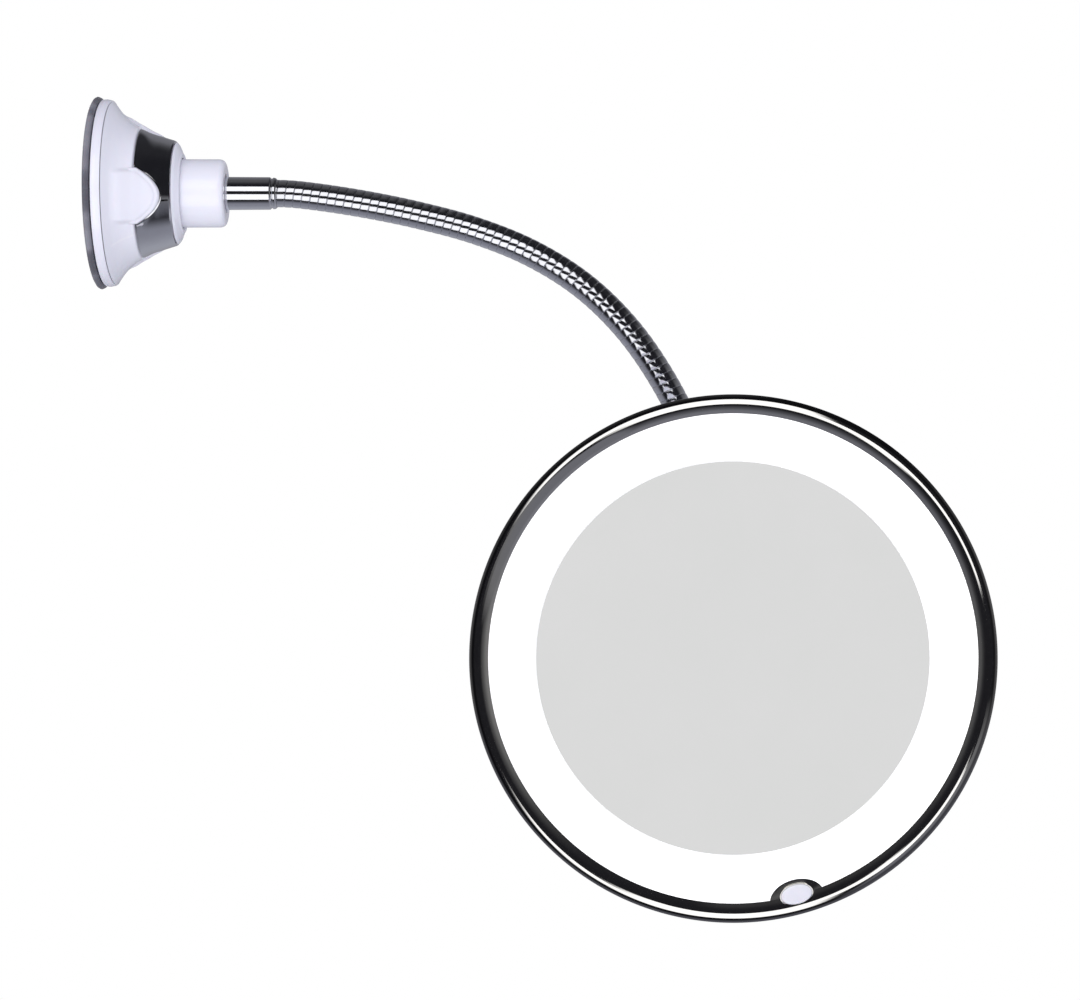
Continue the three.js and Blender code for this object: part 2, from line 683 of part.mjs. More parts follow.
// The head hangs upright from the ball, facing -Y, whatever way the neck comes in.
mirror.updateMatrixWorld(true);
const ballCentre = neck.end.localToWorld(new THREE.Vector3(BALL_REACH, 0, 0));
const head = new THREE.Group();
head.position.copy(ballCentre).y -= BALL_DEPTH;
mirror.add(head);

head.add(
  piece('ball_liner_inner', ballLiner(INNER_LINER_R), material.nylon),
  piece('ball_liner_outer', ballLiner(OUTER_LINER_R), material.nylon),
  piece('ball_collar', ballCollar(), material.white),
  piece('bezel_ring', bezelRing(), material.chrome),
  piece('mirror_glass', mirrorGlass(), material.mirror),
  piece('light_diffuser', lightDiffuser(), material.diffuser),
  piece('inner_frame', innerFrame(), material.innerPlastic),
  piece('led_board', ledBoard(), material.board),
  piece('switch_body', switchBody(), material.black),
  piece('power_button', powerButton(), material.white),
  piece('back_cover', backCover(), material.white),
  piece('battery_holder', batteryHolder(), material.innerPlastic),
  piece('spring_contacts', springContacts(), material.steel),
  piece('button_contacts', buttonContacts(), material.steel),
  piece('battery_door', batteryDoor(), material.white),
  piece('battery_lead', batteryLead(), material.lead),
);
CELL_HEIGHTS.forEach((height, i) => {
  head.add(piece(`battery_${i + 1}`, cell(height), material.cell));
});
SCREW_ANGLES.forEach((angle, i) => {
  head.add(piece(`cover_screw_${i + 1}`, coverScrew(angle), material.steel));
});

export default mirror;
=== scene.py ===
"""Extendable shaving mirror: the looks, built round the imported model.

Lengths are in metres. Sections and outlines are written in millimetres and scaled by MM.
"""
import bisect
import json
import math

import bmesh
import bpy
from mathutils import Matrix, Vector


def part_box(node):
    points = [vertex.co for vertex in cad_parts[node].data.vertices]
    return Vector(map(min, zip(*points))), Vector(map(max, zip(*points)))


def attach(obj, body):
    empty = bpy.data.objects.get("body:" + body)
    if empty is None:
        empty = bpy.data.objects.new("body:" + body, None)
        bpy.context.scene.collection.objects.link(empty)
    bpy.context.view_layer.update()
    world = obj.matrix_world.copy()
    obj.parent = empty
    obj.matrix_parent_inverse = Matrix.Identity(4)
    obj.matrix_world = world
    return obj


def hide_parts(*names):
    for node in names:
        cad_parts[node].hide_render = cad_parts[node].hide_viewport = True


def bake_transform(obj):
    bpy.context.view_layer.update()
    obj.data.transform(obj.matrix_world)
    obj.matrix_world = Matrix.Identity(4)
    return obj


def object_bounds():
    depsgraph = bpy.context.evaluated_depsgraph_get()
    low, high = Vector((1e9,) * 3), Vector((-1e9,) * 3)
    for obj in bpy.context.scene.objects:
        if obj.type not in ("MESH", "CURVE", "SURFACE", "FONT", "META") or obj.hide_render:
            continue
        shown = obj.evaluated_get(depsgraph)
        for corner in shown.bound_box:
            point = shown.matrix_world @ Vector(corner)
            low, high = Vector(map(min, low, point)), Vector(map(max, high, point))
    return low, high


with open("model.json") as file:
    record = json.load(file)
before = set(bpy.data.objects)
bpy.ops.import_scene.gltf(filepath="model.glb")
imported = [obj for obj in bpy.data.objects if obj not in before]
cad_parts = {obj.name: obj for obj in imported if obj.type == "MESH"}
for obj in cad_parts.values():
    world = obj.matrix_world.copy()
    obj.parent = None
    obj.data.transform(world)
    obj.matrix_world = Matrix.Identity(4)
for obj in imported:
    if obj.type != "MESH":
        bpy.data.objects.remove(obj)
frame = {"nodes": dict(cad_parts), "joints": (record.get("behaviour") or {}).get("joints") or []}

cad_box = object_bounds()

MM = 0.001
TAU = 2 * math.pi
JOINTS = {joint["name"]: joint for joint in frame["joints"]}

# ---- driving dimensions, in mm

BASE_R = 33.4                # white base ring
GUIDE_R = 8.4
GUIDE_BORE_R = 6.4
GUIDE_TOP = 18
SLOT_HALF = 1.8
CHROME_START = 16.2
CHROME_END = 28.6
CHROME_THICK = 1.0
LOBE_COUNT = 3
LOBE_TILT = -9
LOBE_START = 8.6
LOBE_TIP = 24.9
LOBE_HALF_WIDTH = 9.9
LOBE_SQUARE_X = 17
HUB_R = 12.2
HUB_START = 27
HUB_END = 46.2
STUD_R = 3.5
STUD_TOP = 36.2
FERRULE_R = 5.9
FERRULE_TIP_R = 5.2
FERRULE_END = 62.4
SPIGOT_R = 2.1

NECK_R = 4.9
NECK_CORE_R = 2.75
STRETCH = 21.5               # along the neck, from one joint to the next
BAND_PITCH = 3.05            # one turn of the neck's winding
GROOVE_DEPTH = 0.4
BALL_R = 8.5
BALL_STEM_R = 2.5
BALL_REACH = 30              # from the neck's end to the ball's centre

GLASS_R = 64.4
GLASS_EDGE_DEPTH = 4.0
GLASS_SAG = 3.46
GLASS_THICK = 2.5
DIFFUSER_DEPTH = 4.2
DIFFUSER_BACK = 6.3
BALL_DEPTH = 31
SOCKET_R = 11.2
BALL_OPENING = 66
SCREW_CIRCLE_R = 62.45
SCREW_ANGLES = (45, 135, 225, 315)
BUTTON_ANGLE = -75           # degrees, from +X towards +Z
BUTTON_CENTRE_R = 79.5
BUTTON_LONG = 5.15
BUTTON_SHORT = 3.05
EAR_CENTRE_R = 81
BAY_HALF_X = 25.3
BAY_TOP = -23.4
BAY_BOTTOM = -56.6

# ---- frames of reference


def head_frame():
    """Local Z runs backwards from the ring's front plane, along +Y; local X is +X."""
    low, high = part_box("bezel_ring")
    centre = Vector(((low.x + high.x) / 2, low.y, (low.z + high.z) / 2))
    return Matrix.Translation(centre) @ Matrix.Rotation(-math.pi / 2, 4, "X")


BASE = Matrix.Rotation(math.pi / 2, 4, "Y")      # local Z runs out from the wall, along +X
HEAD = head_frame()


def on_ring(angle_deg, radius):
    """The head's frame, moved out to a radius; local X points outwards."""
    turn = Matrix.Rotation(math.radians(-angle_deg), 4, "Z")
    return HEAD @ turn @ Matrix.Translation((radius * MM, 0, 0))


BUTTON_PLACE = on_ring(BUTTON_ANGLE, BUTTON_CENTRE_R)

# ---- mesh helpers


def rounded(corners, steps=5):
    """A closed outline from (x, y, fillet radius) corners."""
    outline = []
    count = len(corners)
    for i, (x, y, radius) in enumerate(corners):
        here = Vector((x, y))
        before = Vector(corners[i - 1][:2]) - here
        after = Vector(corners[(i + 1) % count][:2]) - here
        plain = radius <= 0 or min(before.length, after.length) < 1e-6
        half = math.pi / 2 if plain else before.angle(after) / 2
        if half > math.radians(88):
            outline.append((x, y))
            continue
        reach = min(radius / math.tan(half), before.length * 0.49, after.length * 0.49)
        start = here + before.normalized() * reach
        end = here + after.normalized() * reach
        for k in range(steps + 1):
            t = k / steps
            point = start.lerp(here, t).lerp(here.lerp(end, t), t)
            outline.append((point.x, point.y))
    return outline


def smooth_line(points, steps=6):
    """A smooth open line (Catmull-Rom) through the given points."""
    vectors = [Vector(p) for p in points]
    ends = [vectors[0] * 2 - vectors[1], *vectors, vectors[-1] * 2 - vectors[-2]]
    line = []
    for i in range(1, len(ends) - 2):
        a, b, c, d = ends[i - 1:i + 3]
        for k in range(steps):
            t = k / steps
            line.append(tuple(0.5 * (2 * b + (c - a) * t + (2 * a - 5 * b + 4 * c - d) * t ** 2
                                     + (3 * b - a - 3 * c + d) * t ** 3)))
    line.append(tuple(vectors[-1]))
    return line


def finish_mesh(name, bm, place, sharp_deg=32):
    """Welds, closes and shades a mesh, moves it to its place and makes the object."""
    bmesh.ops.remove_doubles(bm, verts=bm.verts, dist=1e-7)
    bmesh.ops.dissolve_degenerate(bm, edges=bm.edges, dist=1e-8)
    bmesh.ops.recalc_face_normals(bm, faces=bm.faces)
    mesh = bpy.data.meshes.new(name)
    bm.to_mesh(mesh)
    bm.free()
    mesh.transform(place)
    mesh.shade_smooth()
    mesh.set_sharp_from_angle(angle=math.radians(sharp_deg))
    piece = bpy.data.objects.new(name, mesh)
    bpy.context.scene.collection.objects.link(piece)
    return piece


def lathe_mesh(outline, segments, shape=None):
    """Turns a closed (radius, height) outline in mm about local Z; shape may move a point."""
    bm = bmesh.new()
    rings = []
    for radius, height in outline:
        ring = []
        for k in range(1 if radius < 1e-6 else segments):
            angle = TAU * k / segments
            r, h = shape(radius, height, angle) if shape else (radius, height)
            ring.append(bm.verts.new((r * math.cos(angle) * MM, r * math.sin(angle) * MM, h * MM)))
        rings.append(ring)
    for i, ring in enumerate(rings):
        after = rings[(i + 1) % len(rings)]
        if len(ring) == 1 and len(after) == 1:
            continue
        for k in range(segments):
            j = (k + 1) % segments
            if len(ring) == 1:
                bm.faces.new((ring[0], after[j], after[k]))
            elif len(after) == 1:
                bm.faces.new((ring[k], ring[j], after[0]))
            else:
                bm.faces.new((ring[k], ring[j], after[j], after[k]))
    return bm


def lathe(name, outline, place, segments=160, shape=None, sharp_deg=32):
    return finish_mesh(name, lathe_mesh(outline, segments, shape), place, sharp_deg)


def polar(radius, angle, height):
    return radius * math.cos(angle), radius * math.sin(angle), height


def bow(radius, height, start, end, steps):
    """Points in mm on a circle round (0, height), from one angle to another."""
    angles = [start + (end - start) * k / steps for k in range(steps + 1)]
    return [(radius * math.cos(a), height + radius * math.sin(a)) for a in angles]


def ring_stack(rings, looped=False):
    """Joins rings of points in mm, equally many in each; capped, or looped back to the first."""
    bm = bmesh.new()
    layers = [[bm.verts.new(Vector(point) * MM) for point in ring] for ring in rings]
    pairs = list(zip(layers, layers[1:]))
    if looped:
        pairs.append((layers[-1], layers[0]))
    for lower, upper in pairs:
        for i, corner in enumerate(lower):
            j = (i + 1) % len(lower)
            bm.faces.new((corner, lower[j], upper[j], upper[i]))
    if not looped:
        bm.faces.new(list(reversed(layers[0])))
        bm.faces.new(layers[-1])
    return bm


def prism_mesh(outline, low, high, bevel=0.0, bevel_steps=3):
    """A flat outline in mm, raised along local Z, its rims rounded by bevel mm."""
    layers = [(low, 0.0), (high, 0.0)]
    if bevel:
        arc = [math.pi / 2 * k / bevel_steps for k in range(bevel_steps + 1)]
        layers = [(low + bevel * (1 - math.sin(a)), bevel * (1 - math.cos(a))) for a in reversed(arc)]
        layers += [(high - bevel * (1 - math.sin(a)), bevel * (1 - math.cos(a))) for a in arc]
    count = len(outline)
    points = [Vector(p) for p in outline]
    area = sum(points[i - 1].x * points[i].y - points[i].x * points[i - 1].y for i in range(count))
    normals = []
    for i in range(count):
        along = (points[(i + 1) % count] - points[i - 1]).normalized()
        normals.append(Vector((along.y, -along.x)) * (1 if area > 0 else -1))
    return ring_stack([[(p.x - n.x * inset, p.y - n.y * inset, height) for p, n in zip(points, normals)]
                       for height, inset in layers])


def oval(half_x, half_y, segments=64, centre=(0, 0)):
    return [(centre[0] + half_x * math.cos(TAU * k / segments),
             centre[1] + half_y * math.sin(TAU * k / segments)) for k in range(segments)]


def box_outline(x0, y0, x1, y1, corner=0.0, steps=5):
    return rounded([(x0, y0, corner), (x1, y0, corner), (x1, y1, corner), (x0, y1, corner)], steps)


def boolean(piece, tool, operation="DIFFERENCE"):
    """Cuts piece with tool, or joins them, and removes the tool."""
    modifier = piece.modifiers.new("boolean", "BOOLEAN")
    modifier.operation = operation
    modifier.solver = "EXACT"
    modifier.object = tool
    graph = bpy.context.evaluated_depsgraph_get()
    result = bpy.data.meshes.new_from_object(piece.evaluated_get(graph))
    piece.modifiers.clear()
    old = piece.data
    piece.data = result
    result.name = piece.name
    bpy.data.meshes.remove(old)
    tool_mesh = tool.data
    bpy.data.objects.remove(tool)
    bpy.data.meshes.remove(tool_mesh)
    result.shade_smooth()
    result.set_sharp_from_angle(angle=math.radians(30))
    return piece


def carve(piece, bm, place, operation="DIFFERENCE"):
    return boolean(piece, finish_mesh("tool", bm, place), operation)


def join_meshes(name, parts, place, sharp_deg=32):
    """Several closed bmeshes as one piece."""
    whole = bmesh.new()
    for part in parts:
        mesh = bpy.data.meshes.new("part")
        part.to_mesh(mesh)
        part.free()
        whole.from_mesh(mesh)
        bpy.data.meshes.remove(mesh)
    return finish_mesh(name, whole, place, sharp_deg)


def fit(piece, body, look, node):
    """Gives a finished piece its material, body and slot, and hides the CAD node that it stands for."""
    piece.data.materials.clear()
    piece.data.materials.append(LOOKS[look])
    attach(piece, body)
    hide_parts(node)


# ---- materials


class Nodes:
    """A node tree, with short calls for the nodes that the looks and the studio share."""

    def __init__(self, tree):
        self.tree = tree

    def link(self, source, target):
        self.tree.links.new(source, target)

    def add(self, kind, *inputs, **settings):
        """A new node; each input takes a constant or another node's output, in order."""
        node = self.tree.nodes.new("ShaderNode" + kind)
        for name, value in settings.items():
            setattr(node, name, value)
        for socket, value in zip(node.inputs, inputs):
            self.feed(socket, value)
        return node

    def feed(self, socket, value):
        if isinstance(value, bpy.types.NodeSocket):
            self.link(value, socket)
        else:
            socket.default_value = (*value, 1) if socket.type == "RGBA" else value

    def math(self, operation, a, b=0.0, clamp=False):
        return self.add("Math", a, b, operation=operation, use_clamp=clamp).outputs[0]

    def mix(self, factor, a, b, blend="MIX"):
        node = self.add("Mix", factor, data_type="RGBA", blend_type=blend)
        self.feed(node.inputs[6], a)
        self.feed(node.inputs[7], b)
        return node.outputs[2]

    def step(self, value, low, high):
        """0 below low, 1 above high, smooth between them."""
        return self.add("MapRange", value, low, high, interpolation_type="SMOOTHSTEP").outputs["Result"]


class Graph(Nodes):
    """A material's node tree; its coordinates are the object's own, in metres."""

    def __init__(self, name):
        self.material = bpy.data.materials.new(name)
        self.material.use_nodes = True
        super().__init__(self.material.node_tree)
        self.shader = self.tree.nodes["Principled BSDF"]
        self.place = self.add("TexCoord").outputs["Object"]

    def set(self, **values):
        for key, value in values.items():
            self.shader.inputs[key.replace("_", " ")].default_value = value

    def noise(self, scale, detail=4.0, roughness=0.55, stretch=None, source=None):
        place = source or self.place
        if stretch:
            place = self.add("Mapping", place, (0, 0, 0), (0, 0, 0), stretch).outputs["Vector"]
        return self.add("TexNoise", place, 0.0, scale, detail, roughness).outputs["Fac"]

    def ramp(self, source, *stops):
        node = self.add("ValToRGB", source)
        ramp = node.color_ramp
        for i, (position, colour) in enumerate(stops):
            element = ramp.elements[i] if i < 2 else ramp.elements.new(position)
            element.position = position
            element.color = (*colour, 1) if isinstance(colour, tuple) else (colour,) * 3 + (1,)
        return node.outputs["Color"]

    def vary(self, scale, detail, low, high, ends=(0.3, 0.7), **noise):
        """Goes from low to high, as a noise goes from one end to the other."""
        return self.ramp(self.noise(scale, detail, **noise), (ends[0], low), (ends[1], high))

    def vector(self, operation, a, b=(0, 0, 0)):
        node = self.add("VectorMath", a, b, operation=operation)
        return node.outputs["Value" if operation == "LENGTH" else "Vector"]

    def convex_edges(self, low=0.53, high=0.6):
        """1 along convex edges, 0 elsewhere, from the mesh's pointiness."""
        geometry = self.add("NewGeometry")
        return self.ramp(geometry.outputs["Pointiness"], (low, 0.0), (high, 1.0))

    def colour(self, source):
        self.link(source, self.shader.inputs["Base Color"])

    def rough(self, source):
        self.link(source, self.shader.inputs["Roughness"])

    def bump(self, height, strength, distance):
        node = self.add("Bump", strength, distance)
        self.link(height, node.inputs["Height"])
        self.link(node.outputs["Normal"], self.shader.inputs["Normal"])


def gloss_plastic(name, colour, shade, roughness=0.16):
    """Polished injection moulding: faint flow marks, a fine orange peel, duller handled patches."""
    g = Graph(name)
    body = g.vary(38, 5, shade, colour, roughness=0.6, stretch=(1.0, 0.6, 1.0))
    # Convex edges are lightened toward a paler white.
    edges = g.convex_edges(0.54, 0.66)
    g.colour(g.mix(g.math("MULTIPLY", edges, 0.25), body, (0.93, 0.93, 0.95)))
    g.rough(g.vary(95, 6, roughness * 0.75, roughness * 1.7, (0.3, 0.75), roughness=0.7))
    g.bump(g.noise(420, 2, 0.5), 0.08, 0.0002)
    g.set(IOR=1.49, Coat_Weight=0.25, Coat_Roughness=0.08, Subsurface_Weight=0.04,
          Subsurface_Scale=0.002)
    return g.material


def matt_plastic(name, colour, shade, roughness=0.45):
    """Plain inner moulding with a spark-eroded grain."""
    g = Graph(name)
    g.colour(g.vary(60, 4, shade, colour, (0.35, 0.7)))
    g.rough(g.vary(300, 3, roughness * 0.85, roughness * 1.2))
    g.bump(g.noise(1800, 2), 0.18, 0.0001)
    g.set(IOR=1.5)
    return g.material


def chrome(name, tint=(0.86, 0.865, 0.89), roughness=0.045, smear=0.13, ripple=0.0):
    """Bright plating: fine polishing lines, wipe marks and a few duller specks."""
    g = Graph(name)
    darker = tuple(c * 0.93 for c in tint)
    g.colour(g.vary(75, 6, darker, tint, (0.3, 0.65), roughness=0.65, stretch=(1.0, 1.0, 0.5)))
    specks = g.vary(1500, 2, 0.0, smear * 0.6, (0.7, 0.78), roughness=0.4)
    wipes = g.vary(160, 5, roughness, smear, (0.35, 0.85), roughness=0.7)
    g.rough(g.math("ADD", wipes, specks))
    g.bump(g.noise(900, 3), 0.05 + ripple, 0.00005)
    g.set(Metallic=1.0)
    return g.material


def bezel_chrome(name):
    """Neutral plating whose outer roll is painted darker and duller than its crest and slope: painted
    shade in its colour.
    """
    g = Graph(name)
    across = g.vector("MULTIPLY", g.vector("SUBTRACT", g.place, HEAD.translation), (1, 0, 1))
    share = g.math("MULTIPLY", g.math("SUBTRACT", g.vector("LENGTH", across), 0.08), 1 / 0.006)
    full, painted_shade = (0.9, 0.885, 0.84), (0.3, 0.295, 0.29)
    # Painted shade: a darker colour over the outer roll, set by radius from the head's centre.
    painted_shade_by_radius = g.ramp(share, (0.7, full), (0.78, painted_shade), (0.985, painted_shade), (0.995, full))
    marks = g.vary(75, 6, 0.93, 1.0, (0.3, 0.65), roughness=0.65)
    g.colour(g.mix(1.0, painted_shade_by_radius, marks, "MULTIPLY"))
    specks = g.vary(1500, 2, 0.0, 0.06, (0.7, 0.78), roughness=0.4)
    g.rough(g.math("ADD", g.vary(160, 5, 0.04, 0.09, (0.35, 0.85), roughness=0.7), specks))
    g.bump(g.noise(900, 3), 0.04, 0.00005)
    g.set(Metallic=1.0)
    return g.material


def steel(name):
    """Nickelled steel with turned or rolled lines."""
    g = Graph(name)
    g.colour(g.vary(240, 4, (0.42, 0.42, 0.44), (0.62, 0.62, 0.64), roughness=0.6, stretch=(1, 1, 6)))
    g.rough(g.vary(300, 4, 0.2, 0.38))
    g.bump(g.noise(2600, 2, 0.5, stretch=(1, 1, 4)), 0.12, 0.00005)
    g.set(Metallic=1.0)
    return g.material


def silvered_glass(name):
    """Silvering seen through clean glass, with the faintest haze of wiping."""
    g = Graph(name)
    g.colour(g.vary(26, 5, (0.93, 0.935, 0.93), (0.95, 0.95, 0.95), roughness=0.6))
    g.rough(g.vary(140, 4, 0.004, 0.02, (0.4, 0.9), roughness=0.6))
    g.set(Metallic=1.0)
    return g.material


def glass_edge(name):
    """Ground rim and painted back of the mirror."""
    g = Graph(name)
    g.colour(g.vary(220, 5, (0.18, 0.2, 0.2), (0.26, 0.28, 0.28)))
    g.rough(g.vary(500, 3, 0.4, 0.6))
    g.bump(g.noise(2400, 2), 0.3, 0.0001)
    return g.material


def glowing_diffuser(name):
    """Opal ring whose glow is painted light set in its material, very slightly uneven."""
    g = Graph(name)
    cloud = g.noise(120, 4, 0.6)
    g.colour(g.ramp(cloud, (0.3, (0.9, 0.9, 0.91)), (0.7, (0.95, 0.95, 0.95))))
    g.rough(g.vary(700, 3, 0.35, 0.5))
    g.bump(g.noise(2200, 2), 0.12, 0.0001)
    # Painted light: the ring's glow is emission set in its material, not a lamp.
    g.link(g.ramp(cloud, (0.3, (0.985, 0.99, 1.0)), (0.7, (1.0, 1.0, 1.0))),
           g.shader.inputs["Emission Color"])
    g.set(Emission_Strength=0.62)
    return g.material


def soft_pad(name):
    """Smoky elastomer: plain face, lighter and darker facets round the rim painted as light and shade,
    lighter convex edges.
    """
    g = Graph(name)
    across = g.vector("MULTIPLY", g.place, (0, 1, 1))
    around = g.noise(2.6, 1, 0.4, source=g.vector("NORMALIZE", across))
    # Painted light and shade: lighter and darker facets round the rim, from a noise around the axis.
    painted_facet_light_and_shade = g.ramp(around, (0.38, (0.06, 0.06, 0.075)), (0.5, (0.11, 0.11, 0.135)),
                    (0.62, (0.28, 0.28, 0.32)))
    rim = g.ramp(g.vector("LENGTH", across), (0.0315, 0.0), (0.0335, 1.0))
    body = g.mix(rim, (0.1, 0.1, 0.12), painted_facet_light_and_shade)
    g.colour(g.mix(g.math("MULTIPLY", g.convex_edges(0.52, 0.6), 0.3), body, (0.42, 0.42, 0.47)))
    g.rough(g.vary(90, 3, 0.22, 0.4, (0.3, 0.75), roughness=0.5))
    g.bump(g.noise(240, 2), 0.06, 0.0001)
    g.set(IOR=1.43, Subsurface_Weight=0.1, Subsurface_Scale=0.003)
    return g.material


def battery_wrap(name):
    """Plain two-tone shrink sleeve on a cell."""
    g = Graph(name)
    low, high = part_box("battery_1")
    along = g.add("SeparateXYZ", g.place).outputs["X"]
    share = g.math("DIVIDE", g.math("SUBTRACT", along, low.x), high.x - low.x)
    bands = g.ramp(share, (0.02, (0.55, 0.55, 0.56)), (0.05, (0.035, 0.05, 0.07)),
                   (0.68, (0.045, 0.06, 0.085)), (0.7, (0.5, 0.33, 0.12)),
                   (0.93, (0.52, 0.35, 0.13)), (0.96, (0.6, 0.6, 0.6)))
    g.colour(g.mix(g.math("MULTIPLY", g.noise(400, 5), 0.2), bands, (0.3, 0.3, 0.32)))
    g.rough(g.vary(260, 4, 0.2, 0.42))
    g.bump(g.noise(900, 3), 0.08, 0.0001)
    return g.material


def circuit_board(name):
    """White solder mask over faint copper tracks."""
    g = Graph(name)
    tracks = g.ramp(g.noise(130, 2, 0.3), (0.49, 0.0), (0.5, 1.0), (0.52, 1.0), (0.53, 0.0))
    mask = g.vary(600, 3, (0.72, 0.72, 0.69), (0.8, 0.8, 0.77))
    g.colour(g.mix(g.math("MULTIPLY", tracks, 0.4), mask, (0.52, 0.53, 0.5)))
    g.rough(g.vary(350, 3, 0.3, 0.5))
    g.bump(tracks, 0.1, 0.0001)
    return g.material


LOOKS = {
    "white": gloss_plastic("white_plastic", (0.83, 0.83, 0.905), (0.81, 0.81, 0.89)),
    "button": gloss_plastic("button_plastic", (0.83, 0.825, 0.88), (0.815, 0.81, 0.87), 0.12),
    "shell": gloss_plastic("shell_plastic", (0.83, 0.83, 0.87), (0.815, 0.815, 0.86), 0.22),
    "chrome": chrome("chrome"),
    "bezel": bezel_chrome("bezel_chrome"),
    "winding": chrome("neck_winding", (0.8, 0.805, 0.84), 0.07, 0.17, 0.04),
    "steel": steel("nickelled_steel"),
    "nylon": matt_plastic("nylon", (0.72, 0.7, 0.62), (0.66, 0.64, 0.57), 0.4),
    "inner": matt_plastic("inner_plastic", (0.76, 0.76, 0.77), (0.7, 0.7, 0.72)),
    "black": matt_plastic("black_plastic", (0.03, 0.03, 0.033), (0.02, 0.02, 0.022), 0.4),
    "mirror": silvered_glass("silvered_glass"),
    "glass_edge": glass_edge("glass_edge"),
    "diffuser": glowing_diffuser("glowing_diffuser"),
    "pad": soft_pad("soft_pad"),
    "battery": battery_wrap("battery_wrap"),
    "board": circuit_board("circuit_board"),
    "lead": matt_plastic("lead_sleeve", (0.42, 0.03, 0.03), (0.32, 0.02, 0.02), 0.35),
}

# ---- suction base


def suction_pad():
    """Cupped face with a vacuum pocket and two sealing ridges, and a boss for the stud."""
    face = [(0, 1.9), (9, 1.9), (17, 1.5), (24, 0.75), (27.2, 0.5), (27.8, 0.15), (28.6, 0.15),
            (29.2, 0.45), (30.4, 0.35), (31, 0.05), (32, 0), (33.4, 0.12)]
    rim = [(34.05, 0.5, 0), (34.3, 1.0, 0), (34.0, 1.7, 0), (33.2, 2.3, 0), (32.2, 2.5, 0)]
    boss = [(8.4, 2.5, 0.8), (6.0, 2.7, 0.6), (5.9, 7.4, 0.6), (0, 7.4, 0)]
    outline = smooth_line(face, 4) + rounded(rim + boss + [(0, 2.0, 0)], 4)[:-1]
    pad = lathe("suction_pad_soft", outline, BASE, 192)
    pad.data.materials.append(LOOKS["pad"])
    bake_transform(pad)
    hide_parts("suction_pad")


def base_ring():
    """White ring with its slotted guide tube for the stud's cross pin."""
    outline = rounded([
        (GUIDE_BORE_R, 2.8, 0.3), (BASE_R - 0.15, 2.8, 0.4), (BASE_R, 4.3, 0.8), (33.0, 6.1, 0.35),
        (31.9, 6.1, 0.3), (31.2, 4.5, 0.4), (GUIDE_R + 1.4, 4.5, 1.0), (GUIDE_R, 6.4, 1.0),
        (GUIDE_R, GUIDE_TOP, 0.4), (GUIDE_BORE_R, GUIDE_TOP, 0.4)], 5)
    ring = lathe("base_ring_white", outline, BASE, 192)
    slot = rounded([(-20, -SLOT_HALF, 0), (-9.7, -SLOT_HALF, 1.7), (-9.7, SLOT_HALF, 1.7),
                    (-20, SLOT_HALF, 0)], 8)
    carve(ring, prism_mesh(slot, -12, 12), Matrix.Diagonal((-1, 1, -1, 1)))
    fit(ring, "wall_base", "white", "base_ring")


BELL_START = 6.3
BELL_FLARE = [(32.7, 6.1), (30.9, 7.4), (28.8, 9.0), (26.6, 11.1), (24.7, 13.6), (23.3, 16.2)]
BELL_NECK = [(23.3, 16.2), (21.6, 19.6), (20.2, 23.8), (18.7, 28.6)]


def radius_at(line, height):
    """Radius of a (radius, height) line at a height."""
    for (r0, h0), (r1, h1) in zip(line, line[1:]):
        if h0 <= height <= h1:
            return r0 + (r1 - r0) * (height - h0) / (h1 - h0)
    return line[0][0] if height < line[0][1] else line[-1][0]


BELL_SKIN = smooth_line(BELL_FLARE + BELL_NECK[1:], 8)


def lobe_reach(height, angle):
    """How far inside the nearest lobe's outline a point is, in mm; negative outside it.

    Lobes are placed from -Y, which is at -90 degrees in the base's frame, towards +Z.
    """
    best = -99.0
    for i in range(LOBE_COUNT):
        middle = math.radians(LOBE_TILT + i * 360 / LOBE_COUNT)
        away = (-math.pi / 2 - angle - middle + math.pi) % TAU - math.pi
        if abs(away) > math.radians(60):
            continue
        across = abs(radius_at(BELL_SKIN, height) * math.sin(away))
        tip = LOBE_TIP - (LOBE_TIP - LOBE_SQUARE_X) * (across / LOBE_HALF_WIDTH) ** 2
        slope = 2 * (LOBE_TIP - LOBE_SQUARE_X) * across / LOBE_HALF_WIDTH ** 2
        best = max(best, min(LOBE_HALF_WIDTH - across, (tip - height) / math.hypot(1, slope)))
    return best


def ease(value, low, high):
    t = min(max((value - low) / (high - low), 0.0), 1.0)
    return t * t * (3 - 2 * t)


def lobe_rise(height):
    """How far the middle of a lobe stands proud: it bridges the hollow of the flare."""
    return 1.5 * ease(height, LOBE_START - 0.4, 12.6) - 0.2 * ease(height, 13.4, CHROME_START)


def bell_radius(height, angle):
    """The flare, sunk under the chrome, with the lobes standing out of it."""
    inside = lobe_reach(height, angle)
    sunk = ease(height, CHROME_START - 0.55, CHROME_START - 0.05) * (1 - ease(inside, -0.35, 0.05))
    middle = lobe_rise(height) * ease(inside, -0.2, 2.4) * (1 - ease(height, LOBE_TIP - 1.6, LOBE_TIP))
    side = 0.95 * ease(inside, -0.1, 0.6) * ease(height, CHROME_START - 3, CHROME_START)
    return radius_at(BELL_SKIN, height) - (CHROME_THICK + 0.3) * sunk + max(middle, side)


